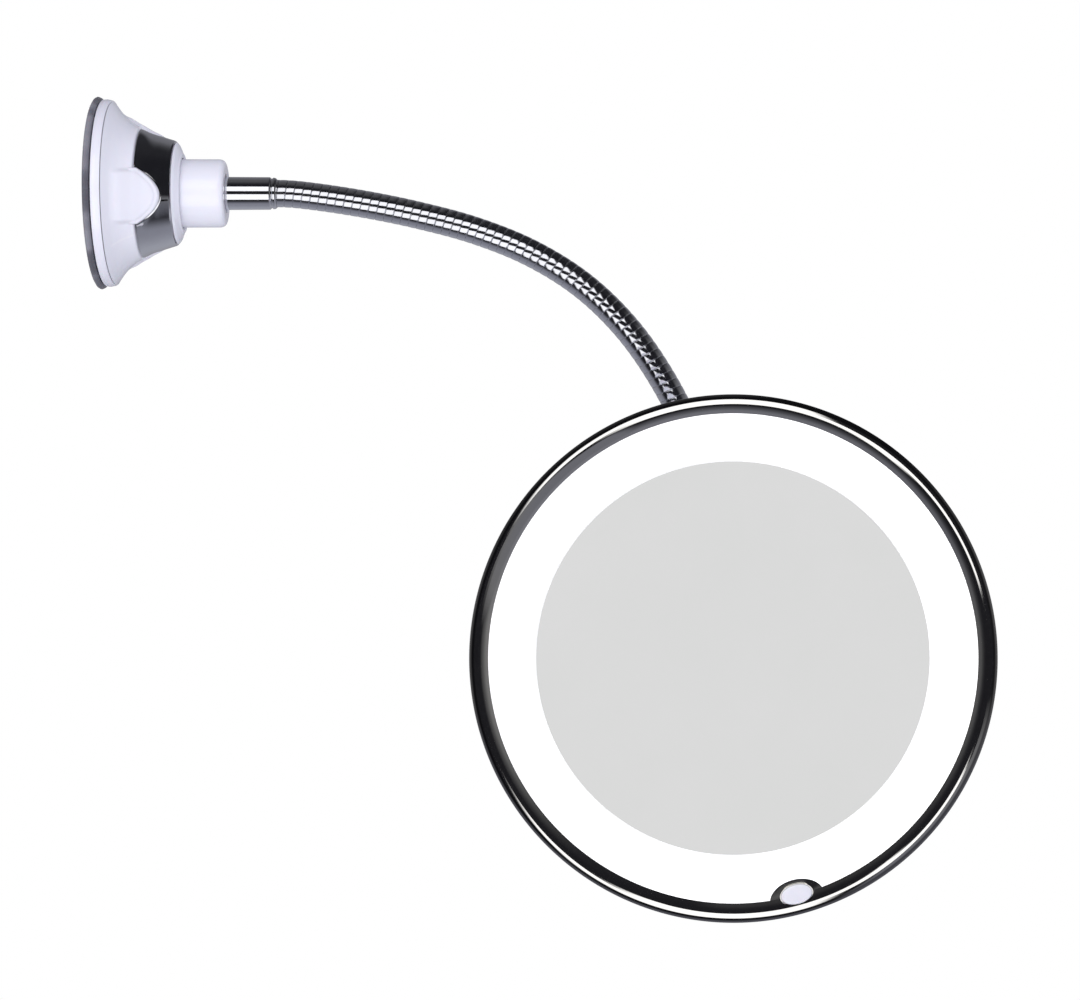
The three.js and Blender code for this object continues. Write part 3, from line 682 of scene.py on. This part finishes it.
def lock_bell():
    """Flared turning cover with three lobes and a recess for the chrome."""
    segments = 540
    angles = [TAU * k / segments for k in range(segments)]
    heights = [BELL_START + (CHROME_END - BELL_START) * k / 96 for k in range(97)]
    rings = [[polar(bell_radius(height, angle), angle, height) for angle in angles] for height in heights]
    nose = rounded([
        (17.4, CHROME_END, 0), (18.3, CHROME_END + 0.05, 0.15), (17.2, 29.5, 1.0), (14.6, 30.5, 0.6),
        (14.1, 30.9, 0.3), (12.8, 30.9, 0.2), (12.6, 30.6, 0.2), (12.6, 29.4, 0.3), (15.6, 28.2, 1.0),
        (18.4, 19.6, 2.0), (20.4, 15.4, 2.0), (22.6, 13.2, 2.0), (26.2, 9.6, 1.0), (29.2, 7.6, 0.5),
        (30.4, 7.3, 0.3), (30.4, BELL_START, 0.15), (31.6, BELL_START, 0)], 4)
    rings += [[polar(radius, angle, height) for angle in angles] for radius, height in nose]
    bell = finish_mesh("lock_bell_white", ring_stack(rings, looped=True), BASE, 40)
    fit(bell, "twist_lock", "white", "lock_bell")


def chrome_trim():
    """Bright sleeve in the bell's recess, notched round the lobes."""
    start, end = CHROME_START + 0.12, CHROME_END - 0.25
    skin = smooth_line(BELL_NECK, 6)
    rows, columns = 61, 540
    heights = [start + (end - start) * i / (rows - 1) for i in range(rows)]
    bm = bmesh.new()

    def corner(i, k, drop, rim):
        angle = TAU * k / columns
        near = min(heights[i] - start, end - heights[i], -lobe_reach(heights[i], angle) - 0.12)
        radius = radius_at(skin, heights[i]) - drop - rim * (1 - ease(near, 0, 0.3))
        return bm.verts.new(Vector(polar(radius, angle, heights[i])) * MM)

    outer = [[corner(i, k, 0.1, 0.12) for k in range(columns)] for i in range(rows)]
    inner = [[corner(i, k, CHROME_THICK, 0) for k in range(columns)] for i in range(rows)]
    cells = [(i, k) for i in range(rows - 1) for k in range(columns)
             if lobe_reach((heights[i] + heights[i + 1]) / 2, TAU * (k + 0.5) / columns) < -0.1]
    kept = set(cells)
    for i, k in cells:
        j = (k + 1) % columns
        bm.faces.new((outer[i][k], outer[i][j], outer[i + 1][j], outer[i + 1][k]))
        bm.faces.new((inner[i][k], inner[i + 1][k], inner[i + 1][j], inner[i][j]))
        sides = (((i - 1, k), (i, k), (i, j)), ((i + 1, k), (i + 1, j), (i + 1, k)),
                 ((i, (k - 1) % columns), (i + 1, k), (i, k)), ((i, j), (i, j), (i + 1, j)))
        for beside, (p, q), (u, v) in sides:
            if beside not in kept:
                bm.faces.new((outer[p][q], inner[p][q], inner[u][v], outer[u][v]))
    loose = [v for v in bm.verts if not v.link_faces]
    bmesh.ops.delete(bm, geom=loose, context="VERTS")
    smooth_notches(bm)
    trim = finish_mesh("lock_trim_chrome", bm, BASE, 30)
    fit(trim, "twist_lock", "chrome", "lock_chrome_trim")


def smooth_notches(bm):
    """Slides the stepped notch rims on to a smooth line, keeping each vertex's radius."""
    bmesh.ops.recalc_face_normals(bm, faces=bm.faces)
    rim = set()
    for edge in bm.edges:
        if len(edge.link_faces) == 2 and edge.calc_face_angle(0) > math.radians(50):
            rim.update(edge.verts)
    low = (CHROME_START + 0.13) * MM
    high = (CHROME_END - 0.26) * MM
    moving = [v for v in bm.verts if v in rim and low < v.co.z < high]
    for _ in range(14):
        goals = []
        for v in moving:
            around = [e.other_vert(v) for e in v.link_edges]
            beside = [o for o in around if o in rim
                      and abs(o.co.xy.length - v.co.xy.length) < 0.5 * MM]
            if len(beside) >= 2:
                middle = sum((o.co for o in beside), Vector()) / len(beside)
                goals.append((v, v.co.lerp(middle, 0.5)))
        for v, goal in goals:
            goal.xy = goal.xy.normalized() * v.co.xy.length
            v.co = goal


def hub_and_ferrule():
    """Telescoping hub, and the chrome ferrule that holds the neck's start."""
    hub = lathe("hub_white", rounded([
        (STUD_R + 0.3, HUB_START, 0.2), (HUB_R, HUB_START, 0.5), (HUB_R - 0.05, HUB_END, 3.0),
        (6.9, HUB_END, 0.5), (6.4, HUB_END - 1.6, 0.3), (4.9, HUB_END - 1.6, 0.1),
        (4.9, STUD_TOP + 0.3, 0.1), (STUD_R + 0.3, STUD_TOP + 0.3, 0.1)], 8), BASE, 160)
    fit(hub, "hub", "white", "hub")
    ferrule_end = FERRULE_END - 0.1
    ferrule = lathe("base_ferrule_chrome", rounded([
        (0, STUD_TOP + 0.6, 0), (4.6, STUD_TOP + 0.6, 0.3), (4.6, HUB_END - 1.3, 0),
        (FERRULE_R, HUB_END - 1.3, 0.2), (FERRULE_R - 0.1, 61.9, 0.4), (FERRULE_R - 0.7, 62.5, 0.2),
        (FERRULE_R - 0.25, 63.1, 0.3), (FERRULE_R - 0.35, 63.8, 0.3), (NECK_R + 0.25, 64.3, 0.1),
        (NECK_R + 0.1, 64.3, 0), (NECK_R + 0.1, ferrule_end, 0.1), (SPIGOT_R, ferrule_end, 0.1),
        (SPIGOT_R, FERRULE_END + 5.4, 0.3), (0, FERRULE_END + 5.4, 0)], 6), BASE, 96)
    fit(ferrule, "hub", "chrome", "base_ferrule")


# ---- gooseneck


def end_way():
    """Direction of the ball's stem, from the end ferrule's mesh axis to the ball."""
    vertices = frame["nodes"]["end_ferrule"].data.vertices
    middle = sum((vertex.co for vertex in vertices), Vector()) / len(vertices)
    return (BALL - middle).normalized()


BALL = Vector(JOINTS["mirror_tilt"]["pos_m"])
NECK_WAY = end_way()
NECK_END = BALL - NECK_WAY * BALL_REACH * MM
TIP = Matrix.Translation(NECK_END) @ NECK_WAY.to_track_quat("Z", "Y").to_matrix().to_4x4()
FLIPPED_STRETCH = 4          # the stretch whose ends and bodies are swapped in gooseneck


def ways_along(points, first, last):
    """Direction at each point, from the points on both sides; the ends' own are given."""
    middle = [(after - before).normalized() for before, after in zip(points, points[2:])]
    return [first, *middle, last]


class Spline:
    """Smooth line through the neck's joints, measured by length, with a steady frame."""

    def __init__(self, points, first_way, last_way, steps=24):
        self.points, self.lengths = [], [0.0]
        ways = ways_along(points, first_way, last_way)
        for i in range(len(points) - 1):
            span = (points[i + 1] - points[i]).length
            a, b = points[i], points[i + 1]
            u, v = ways[i] * span, ways[i + 1] * span
            for k in range(steps):
                t = k / steps
                self.points.append(a * (2 * t ** 3 - 3 * t ** 2 + 1) + u * (t ** 3 - 2 * t ** 2 + t)
                                   + b * (3 * t ** 2 - 2 * t ** 3) + v * (t ** 3 - t ** 2))
        self.points.append(points[-1])
        for a, b in zip(self.points, self.points[1:]):
            self.lengths.append(self.lengths[-1] + (b - a).length)
        self.frames = []
        side = Vector((0, 0, 1))
        for way in ways_along(self.points, first_way, last_way):
            side = (side - way * side.dot(way)).normalized()
            self.frames.append((way, side, way.cross(side)))
        self.total = self.lengths[-1]

    def at(self, length):
        """Point and frame at a length along the line."""
        high = min(bisect.bisect_right(self.lengths, length), len(self.lengths) - 1)
        low = high - 1
        t = (length - self.lengths[low]) / (self.lengths[high] - self.lengths[low])
        way = self.frames[low][0].lerp(self.frames[high][0], t).normalized()
        side = self.frames[low][1].lerp(self.frames[high][1], t)
        side = (side - way * side.dot(way)).normalized()
        return self.points[low].lerp(self.points[high], t), (way, side, way.cross(side))

    def length_at(self, place):
        """Length along the line of the sample nearest to a place."""
        nearest = min(range(len(self.points)), key=lambda i: (self.points[i] - place).length)
        return self.lengths[nearest]


def winding_radius(turn):
    """Outer radius in mm at a share of one turn across the band: crowned, with a groove."""
    across = abs((turn % 1.0) - 0.5) * 2
    return NECK_R - 0.07 * across ** 2 - GROOVE_DEPTH * ease(across, 0.925, 0.995)


def winding_stretch(name, line, start, end, around=48, per_turn=38):
    """One stretch of the wound band as a closed tube; its helix is continuous with the next."""
    rows = max(8, round((end - start) / (BAND_PITCH * MM) * per_turn))
    bm = bmesh.new()
    outer, inner = [], []
    for i in range(rows + 1):
        length = start + (end - start) * i / rows
        point, (_, side, up) = line.at(length)
        rays = [side * math.cos(TAU * k / around) + up * math.sin(TAU * k / around) for k in range(around)]
        turn = length / (BAND_PITCH * MM)
        outer.append([bm.verts.new(point + ray * winding_radius(turn + k / around) * MM)
                      for k, ray in enumerate(rays)])
        if i % 19 == 0 or i == rows:
            inner.append([bm.verts.new(point + ray * NECK_CORE_R * MM) for ray in rays])
    walls = [*zip(outer, outer[1:]), *zip(inner[1:], inner)]
    for a, b in [*walls, (inner[0], outer[0]), (outer[-1], inner[-1])]:
        for k in range(around):
            j = (k + 1) % around
            bm.faces.new((a[k], a[j], b[j], b[k]))
    return finish_mesh(name, bm, Matrix.Identity(4), 60)


def gooseneck():
    """Twelve stretches, each spanning one joint; they meet halfway between joints."""
    names = [f"neck_{kind}_{i}" for i in range(1, 7) for kind in ("bend", "swing")]
    places = [Vector(JOINTS[name]["pos_m"]) for name in names]
    start = Vector((FERRULE_END * MM, 0, 0))
    line = Spline([start, *places, NECK_END], Vector((1, 0, 0)), NECK_WAY)
    stations = [line.length_at(place) for place in places]
    cuts = [0.0, *((a + b) / 2 for a, b in zip(stations, stations[1:])), line.total]
    bodies = ["hub", *[f"neck_{i:02d}" for i in range(1, 12)], "neck_end"]
    reach = 0.46 * STRETCH * MM
    for i, (station, place) in enumerate(zip(stations, places)):
        name = f"neck_winding_{i + 1:02d}"
        piece = winding_stretch(name, line, cuts[i], cuts[i + 1])
        piece.data.materials.append(LOOKS["winding"])
        _, (way, _, _) = line.at(station)
        before = max(cuts[i] + 0.0005, station - reach)
        after = min(cuts[i + 1] - 0.0005, station + reach)
        a, b = bodies[i:i + 2]
        first, last = place - way * (station - before), place + way * (after - station)
        if i == FLIPPED_STRETCH:
            a, b, first, last = b, a, last, first
        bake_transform(piece)
        nodes = [f"neck_coil_{i:02d}"] if i < 11 else ["neck_coil_11", "neck_coil_12"]
        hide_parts(*nodes)


def end_ferrule():
    """Chrome ferrule at the neck's end, and the ball stud that stands in it."""
    far = BALL_REACH - 16.5
    outline = rounded([
        (0, -5, 0), (SPIGOT_R, -5, 0.3), (SPIGOT_R, 0.3, 0), (FERRULE_TIP_R - 0.3, 0.3, 0.3),
        (FERRULE_TIP_R, 1.2, 0.3), (FERRULE_TIP_R - 0.45, 1.7, 0.2), (FERRULE_TIP_R + 0.15, 2.3, 0.4),
        (FERRULE_R - 0.3, 5, 1.5), (FERRULE_R - 0.3, far - 1.2, 1.0), (FERRULE_R - 1.5, far, 0.4),
        (BALL_STEM_R + 0.3, far, 0.2), (BALL_STEM_R + 0.3, 3.4, 0), (0, 3.4, 0)], 6)
    ferrule = lathe("end_ferrule_chrome", outline, TIP, 96)
    fit(ferrule, "neck_end", "chrome", "end_ferrule")
    neck = math.acos(BALL_STEM_R / BALL_R)
    stem = [(0, 3.7), (BALL_STEM_R - 0.2, 3.7), (BALL_STEM_R, 3.9),
            (BALL_STEM_R, BALL_REACH - BALL_R * math.sin(neck) - 0.5)]
    stud = stem + bow(BALL_R, BALL_REACH, -neck, math.pi / 2, 48)[:-1] + [(0, BALL_REACH + BALL_R)]
    fit(lathe("ball_stud_chrome", stud, TIP, 96), "neck_end", "chrome", "ball_stud")


# ---- mirror head


def ball_seats():
    """Ball liners and the knurled collar that clamps them."""
    edge = math.radians(90 - BALL_OPENING)
    for kind, inner in (("inner", 8.8), ("outer", 10.0)):
        outer = inner + 0.9
        outline = [(0, BALL_DEPTH - outer), *bow(outer, BALL_DEPTH, -math.pi / 2, edge, 40)[1:],
                   *bow(inner, BALL_DEPTH, -math.pi / 2, edge, 40)[:0:-1], (0, BALL_DEPTH - inner)]
        liner = lathe(f"ball_liner_{kind}_nylon", outline, HEAD, 96)
        fit(liner, f"ball_seat_{kind}", "nylon", f"ball_liner_{kind}")
    outline = rounded([(14.5, 27.5, 0.1), (17.3, 27.5, 0.3), (17.3, 32.6, 0.9), (16.4, 34.2, 1.2),
                       (14.2, 36.0, 0.8), (12.6, 36.2, 0.4), (10.6, 36.2, 0.3)], 5)
    outline += bow(SOCKET_R, BALL_DEPTH, edge, math.radians(2), 10) + [(14.5, BALL_DEPTH + 0.4)]
    ribs = 36

    def grip(radius, height, angle):
        if radius < 16.2 or not 27.9 < height < 32.9:
            return radius, height
        wave = 0.5 + 0.5 * math.cos(angle * ribs)
        fade = ease(height, 27.9, 28.7) * (1 - ease(height, 32.0, 32.9))
        return radius - 0.55 * fade * wave ** 3, height

    extra = []
    for a, b in zip(outline, outline[1:]):
        extra.append(a)
        if a[0] > 17 and b[0] > 16.9 and abs(b[1] - a[1]) > 2:
            extra += [(a[0] + (b[0] - a[0]) * k / 14, a[1] + (b[1] - a[1]) * k / 14) for k in range(1, 14)]
    extra.append(outline[-1])
    collar = lathe("ball_collar_white", extra, HEAD, 432, grip, 40)
    fit(collar, "head", "shell", "ball_collar")


def bezel():
    """Chrome ring: rolled rim, narrow ridged crest, the slope to the light, the button's ear."""
    slope = smooth_line([(79.8, 2.43), (81.0, 1.438), (82.0, 0.725), (82.7, 0.313), (83.0, 0.179),
                         (83.55, 0.0)], 5)
    roll = smooth_line([(83.55, 0.0), (84.1, 0.168), (84.5, 0.318), (85.2, 0.682), (85.8, 1.168),
                        (85.97, 1.45), (86.0, 1.85)], 5)
    back = rounded([(86, 1.9, 0), (86, 4.6, 0.5), (85.6, 5.4, 0.3), (83.8, 5.4, 0), (83.8, 8, 0.2),
                    (82.2, 8, 0.2), (82.2, 4.0, 0), (79.8, 4.0, 0.1)], 4)
    ring = lathe("bezel_chrome", slope[:-1] + roll + back, HEAD, 384)
    boolean(ring, ear(), "UNION")
    hole = oval(BUTTON_SHORT + 0.14, BUTTON_LONG + 0.14, 96)
    carve(ring, prism_mesh(hole, -1, 6), BUTTON_PLACE)
    fit(ring, "head", "bezel", "bezel_ring")


def ear():
    """Collar that swells from the slope round the button, tipped the same way as the slope."""
    rings = []
    for k in range(9):
        t = k / 8
        outline = oval(6.05 - 2.75 * t, 9.0 - 3.5 * t, 96, ((EAR_CENTRE_R - BUTTON_CENTRE_R) * (1 - t), 0))
        rings.append([(x, y, 4.1 - (2.2 + 0.3 * x) * t) for x, y in outline])
    collar = finish_mesh("ear", ring_stack(rings), BUTTON_PLACE, 50)
    return carve(collar, lathe_mesh([(0, -1), (82.3, -1), (82.3, 7), (0, 7)], 384), HEAD, "INTERSECT")


def power_button():
    """Crowned oval cap on its flange and switch stem."""
    crown = [(0.15, 0.66), (0.4, 0.6), (0.7, 0.55), (0.84, 0.58), (0.93, 0.7), (0.98, 0.9), (1.0, 1.2),
             (1.0, 4.3)]
    sizes = [(BUTTON_SHORT * share, BUTTON_LONG * share, depth) for share, depth in crown]
    sizes += [(2.7, 6.6, 4.3), (2.7, 6.6, 5.3)]
    rings = [[(x, y, depth) for x, y in oval(short, long, 96)] for short, long, depth in sizes]
    stem = prism_mesh(oval(1.4, 1.4, 32, (-1.6, 0)), 5.2, 7.4, 0.2)
    cap = join_meshes("power_button_white", [ring_stack(rings), stem], BUTTON_PLACE, 35)
    fit(cap, "button", "button", "power_button")


def glass():
    """Concave glass with a small ground bevel; its silvering shows in front."""
    def depth(radius):
        return GLASS_EDGE_DEPTH + GLASS_SAG * (1 - (radius / GLASS_R) ** 2)

    steps = 40
    flat = 0.997
    front = [(GLASS_R * k / steps * flat, depth(GLASS_R * k / steps * flat)) for k in range(steps + 1)]
    back = [(r, d + GLASS_THICK) for r, d in reversed(front)]
    rim = [(GLASS_R, depth(GLASS_R) + 0.35), (GLASS_R, depth(GLASS_R) + GLASS_THICK - 0.35)]
    mirror = lathe("mirror_glass_silvered", front + rim + back, HEAD, 256, None, 25)
    fit(mirror, "head", "mirror", "mirror_glass")
    mirror.data.materials.append(LOOKS["glass_edge"])
    centre = HEAD.translation
    for face in mirror.data.polygons:
        away = face.center - centre
        in_front = face.normal.y < -0.5 and away.y < (GLASS_EDGE_DEPTH + GLASS_SAG + 1) * MM
        face.material_index = 0 if in_front else 1


def diffuser():
    inner, outer = GLASS_R + 0.06, 81.7
    outline = rounded([(inner, DIFFUSER_DEPTH, 0.15), (72, DIFFUSER_DEPTH - 0.1, 2),
                       (outer, DIFFUSER_DEPTH, 0.1), (outer, DIFFUSER_BACK, 0.1),
                       (inner, DIFFUSER_BACK, 0.1)], 4)
    ring = lathe("light_diffuser_opal", outline, HEAD, 256, None, 40)
    carve(ring, prism_mesh(oval(3.9, 7, 64), 3, 8), BUTTON_PLACE)
    fit(ring, "head", "diffuser", "light_diffuser")


def back_cover():
    """Domed casing with the socket, a groove round it, screw recesses and the bay opening."""
    outer = smooth_line([(85.9, 9.0), (85.2, 13.0), (83.0, 17.0), (79.0, 20.8), (73.0, 24.0),
                         (64.0, 26.2), (55.0, 26.75), (45.0, 27.0)], 5)
    socket = bow(SOCKET_R, BALL_DEPTH, 0, -math.pi / 2, 20)[:-1]
    groove = [(34.2, 27.05), (33.9, 26.7), (33.1, 26.7), (32.8, 27.08)]
    inside = rounded([(12.4, 18, 1), (14.4, 20, 0.5), (14.4, 25, 0.5), (45, 25, 3), (63.5, 24.2, 3),
                      (72, 22.1, 3), (77.5, 19.3, 2), (81.2, 15.8, 2), (83.1, 12.6, 2), (84, 9, 2),
                      (84.1, 5.8, 0.1)], 4)
    outline = [(0, 18), *inside, (85.7, 5.8), (85.88, 6.2), *outer, *groove, (18.6, 27.15),
               (17.9, 27.2), (14.2, 27.2), (14.2, BALL_DEPTH), *socket, (0, BALL_DEPTH - SOCKET_R)]
    cover = lathe("back_cover_white", outline, HEAD, 288, None, 30)
    tower = rounded([(0, 21, 0), (4.3, 21, 0.3), (4.3, 25.4, 0), (0, 25.4, 0)])
    sink = [(0, 15), (1.6, 15), (1.6, 23.6), (3.1, 23.6), (3.1, 26.0), (3.9, 26.9), (3.9, 28.5), (0, 28.5)]
    for angle in SCREW_ANGLES:
        place = on_ring(angle, SCREW_CIRCLE_R)
        carve(cover, lathe_mesh(tower, 48), place, "UNION")
        carve(cover, lathe_mesh(sink, 48), place)
    bay = box_outline(-BAY_HALF_X, -BAY_TOP + 0.3, BAY_HALF_X, -BAY_BOTTOM - 0.3, 2.2)
    carve(cover, prism_mesh(bay, 22, 30), HEAD)
    fit(cover, "head", "shell", "back_cover")


def battery_door():
    """Door with rounded corners, a finger notch and four grip ribs."""
    x = BAY_HALF_X - 0.3
    top, bottom = -BAY_TOP + 0.6, -BAY_BOTTOM - 0.6
    panel = box_outline(-x, top, x, bottom, 2.0)
    door = finish_mesh("battery_door_white", prism_mesh(panel, 24.5, 26.35, 0.35), HEAD, 30)
    notch = rounded([(-7, top + 2.2, 1.2), (7, top + 2.2, 1.2), (5.4, top + 6.2, 2.2),
                     (-5.4, top + 6.2, 2.2)], 6)
    carve(door, prism_mesh(notch, 25.5, 28), HEAD)
    ribs = [prism_mesh(box_outline(-6.5, bottom - 4.2 - 1.8 * k, 6.5, bottom - 3.4 - 1.8 * k, 0.39, 4),
                       26.0, 26.75, 0.2) for k in range(4)]
    boolean(door, join_meshes("door_ribs", ribs, HEAD, 30), "UNION")
    fit(door, "door", "shell", "battery_door")


def cover_screws():
    """Cross-recessed pan screws."""
    for i, angle in enumerate(SCREW_ANGLES):
        outline = rounded([(0, 12.2, 0), (0.9, 12.2, 0.2), (1.3, 13.0, 0.2), (1.3, 23.9, 0.1),
                           (2.8, 23.9, 0.15), (2.8, 24.4, 0.5), (2.1, 25.2, 0.8), (0, 25.4, 0)], 4)
        place = on_ring(angle, SCREW_CIRCLE_R)
        screw = lathe(f"cover_screw_{i + 1}_head", outline, place, 64)
        turned = place @ Matrix.Rotation(0.5 * i, 4, "Z")
        for x, y in ((1.5, 0.28), (0.28, 1.5)):
            carve(screw, prism_mesh(box_outline(-x, -y, x, y), 24.45, 26), turned)
        fit(screw, "head", "steel", f"cover_screw_{i + 1}")


def inner_parts():
    """Carried-over CAD nodes inside the case get their own looks."""
    nodes = {
        "nylon": ("lock_cam_ring",),
        "steel": ("pull_stud", "cross_pin", "spring_contacts", "button_contacts"),
        "inner": ("inner_frame", "battery_holder"),
        "board": ("led_board",),
        "black": ("switch_body",),
        "battery": ("battery_1", "battery_2", "battery_3"),
        "lead": ("battery_lead",),
    }
    for look, names in nodes.items():
        for name in names:
            piece = frame["nodes"][name]
            if not piece.material_slots:
                piece.data.materials.append(LOOKS[look])
            for slot in piece.material_slots:
                slot.material = LOOKS[look]


# ---- studio


def floor():
    """Pale floor well below the mirror, stopping short of the camera's view."""
    low, high = cad_box
    centre = (low + high) / 2
    half_x, half_y, top = 0.45, 0.3, low.z - 0.075
    outline = box_outline(-half_x / MM, -half_y / MM, half_x / MM, half_y / MM, 60, 12)
    place = Matrix.Translation((centre.x, -0.16, top))
    slab = finish_mesh("floor", prism_mesh(outline, -12, 0, 4), place)
    g = Graph("pale_floor")
    g.colour(g.vary(9, 4, (0.8, 0.8, 0.81), (0.84, 0.84, 0.845)))
    g.rough(g.vary(40, 3, 0.5, 0.65))
    slab.data.materials.append(g.material)
    slab.visible_glossy = False


def studio_world():
    """White surround. Reflections see two soft boxes in a dark room with paler far walls."""
    world = bpy.data.worlds.new("studio")
    bpy.context.scene.world = world
    world.use_nodes = True
    g = Nodes(world.node_tree)
    g.tree.nodes.clear()
    calc, step, blend = g.math, g.step, g.mix
    x, y, z = g.add("SeparateXYZ", g.add("TexCoord").outputs["Generated"]).outputs
    rise = calc("ARCTAN2", z, calc("MULTIPLY", y, -1.0))       # 0 ahead, 90 degrees overhead
    behind = step(y, 0.0, 0.9)
    above = blend(behind, (0.08, 0.08, 0.084), (0.17, 0.17, 0.19))
    level = blend(behind, (0.25, 0.25, 0.26), (0.3, 0.3, 0.33))
    below = blend(behind, (0.24, 0.245, 0.29), (0.36, 0.37, 0.42))
    walls = blend(step(z, -0.65, -0.1), below, blend(step(z, 0.1, 0.65), level, above))
    dusk = calc("SUBTRACT", 0.62, step(z, -0.32, -0.04))
    corner = calc("MULTIPLY", step(x, 0.36, 0.46), dusk, clamp=True)
    flag = calc("MULTIPLY", step(x, 0.08, 0.26), step(z, 0.5, 0.75))
    lit = calc("MULTIPLY", step(y, -0.56, 0.0), calc("SUBTRACT", 1.0, calc("MULTIPLY", flag, 0.9)))
    surround = blend(calc("MAXIMUM", lit, corner), (0.012, 0.012, 0.015), walls)

    def window(low_deg, high_deg):
        soft = math.radians(1.5)
        low, high = math.radians(low_deg), math.radians(high_deg)
        mask = calc("MULTIPLY", step(rise, low - soft, low + soft),
                    calc("SUBTRACT", 1.0, step(rise, high - soft, high + soft)))
        across = calc("MULTIPLY", step(x, -0.5, -0.4), calc("SUBTRACT", 1.0, step(x, 0.26, 0.34)))
        return calc("MULTIPLY", mask, across)

    boxes = calc("ADD", window(10, 42), window(-51, -13), clamp=True)
    studio = blend(boxes, surround, (1.25, 1.25, 1.28))

    ahead = blend(step(z, -0.6, 0.9), (0.98, 0.98, 1.05), (0.5, 0.5, 0.57))
    soft = blend(step(y, -0.7, 0.9), ahead, (0.72, 0.73, 0.79))
    plain, soft, studio = [g.add("Background", tone).outputs[0] for tone in ((1, 1, 1), soft, studio)]
    ray = g.add("LightPath").outputs
    seen = g.add("MixShader", ray["Is Glossy Ray"], soft, studio).outputs[0]
    seen = g.add("MixShader", ray["Is Camera Ray"], seen, plain).outputs[0]
    g.add("OutputWorld", seen)


def soft_box(name, place, aim, size, power, colour=(1, 1, 1)):
    lamp = bpy.data.lights.new(name, "AREA")
    lamp.shape = "RECTANGLE"
    lamp.size, lamp.size_y = size
    lamp.energy = power
    lamp.color = colour
    lamp_object = bpy.data.objects.new(name, lamp)
    bpy.context.scene.collection.objects.link(lamp_object)
    lamp_object.location = place
    lamp_object.rotation_euler = (Vector(aim) - Vector(place)).to_track_quat("-Z", "Y").to_euler()
    lamp_object.visible_glossy = lamp_object.visible_camera = False


def flat_look(name, colour, glow):
    """Even stage surface: black, or glowing with an even tone."""
    g = Graph(name)
    g.set(Base_Color=(0, 0, 0, 1), Roughness=1.0, Specular_IOR_Level=0.0, Emission_Color=colour,
          Emission_Strength=glow)
    return g.material


def bounce_card():
    """Grey card in a deep dark cup, where the concave glass looks: the glass shows its tone."""
    centre = HEAD.translation + Vector((0, (GLASS_EDGE_DEPTH + GLASS_SAG) * MM, 0))
    focal = GLASS_R ** 2 / (4 * GLASS_SAG) * MM
    away = centre.y - CAMERA_PLACE.y
    image = 1 / (1 / focal - 1 / away)
    shift = (CAMERA_PLACE - centre) * (-image / away)
    place = Vector((centre.x + shift.x, centre.y - image, centre.z + shift.z))
    bm = lathe_mesh([(0, 0), (18, 0), (18, 72), (19, 72), (19, -1), (0, -1)], 64)
    card = finish_mesh("bounce_card", bm, Matrix.Translation(place)
                       @ Matrix.Rotation(-math.pi / 2, 4, "X"))
    card.data.materials.append(flat_look("bounce_card", (0.745, 0.745, 0.745, 1), 1.0))
    card.data.materials.append(flat_look("bounce_cup", (0, 0, 0, 1), 0.0))
    for face in card.data.polygons:
        face.material_index = 0 if face.normal.y > 0.9 and face.center.y < place.y + 0.01 else 1
    card.visible_camera = card.visible_diffuse = card.visible_shadow = False


CAMERA_PLACE = Vector((0.1587, -0.9155, -0.11005))


def camera_and_light():
    lens = bpy.data.cameras.new("camera")
    lens.lens = 85
    lens.sensor_width = 36
    lens.clip_start = 0.01
    camera = bpy.data.objects.new("camera", lens)
    bpy.context.scene.collection.objects.link(camera)
    camera.location = CAMERA_PLACE
    camera.rotation_euler = (math.pi / 2, 0, 0)
    bpy.context.scene.camera = camera
    bpy.context.scene.view_settings.view_transform = "Standard"
    soft_box("key", (-0.3, -1.3, 0.1), (0.1, 0, -0.08), (0.9, 0.7), 7)
    soft_box("fill", (0.7, -0.9, -0.6), (0.1, 0, -0.08), (0.9, 0.9), 3, (0.97, 0.98, 1))
    soft_box("rear", (0.3, 1.1, 0.7), (0.15, 0, -0.1), (1.0, 0.8), 6)


# ---- assembly

camera_and_light()
studio_world()
floor()
bounce_card()
suction_pad()
base_ring()
lock_bell()
chrome_trim()
hub_and_ferrule()
gooseneck()
end_ferrule()
ball_seats()
bezel()
power_button()
glass()
diffuser()
back_cover()
battery_door()
cover_screws()
inner_parts()
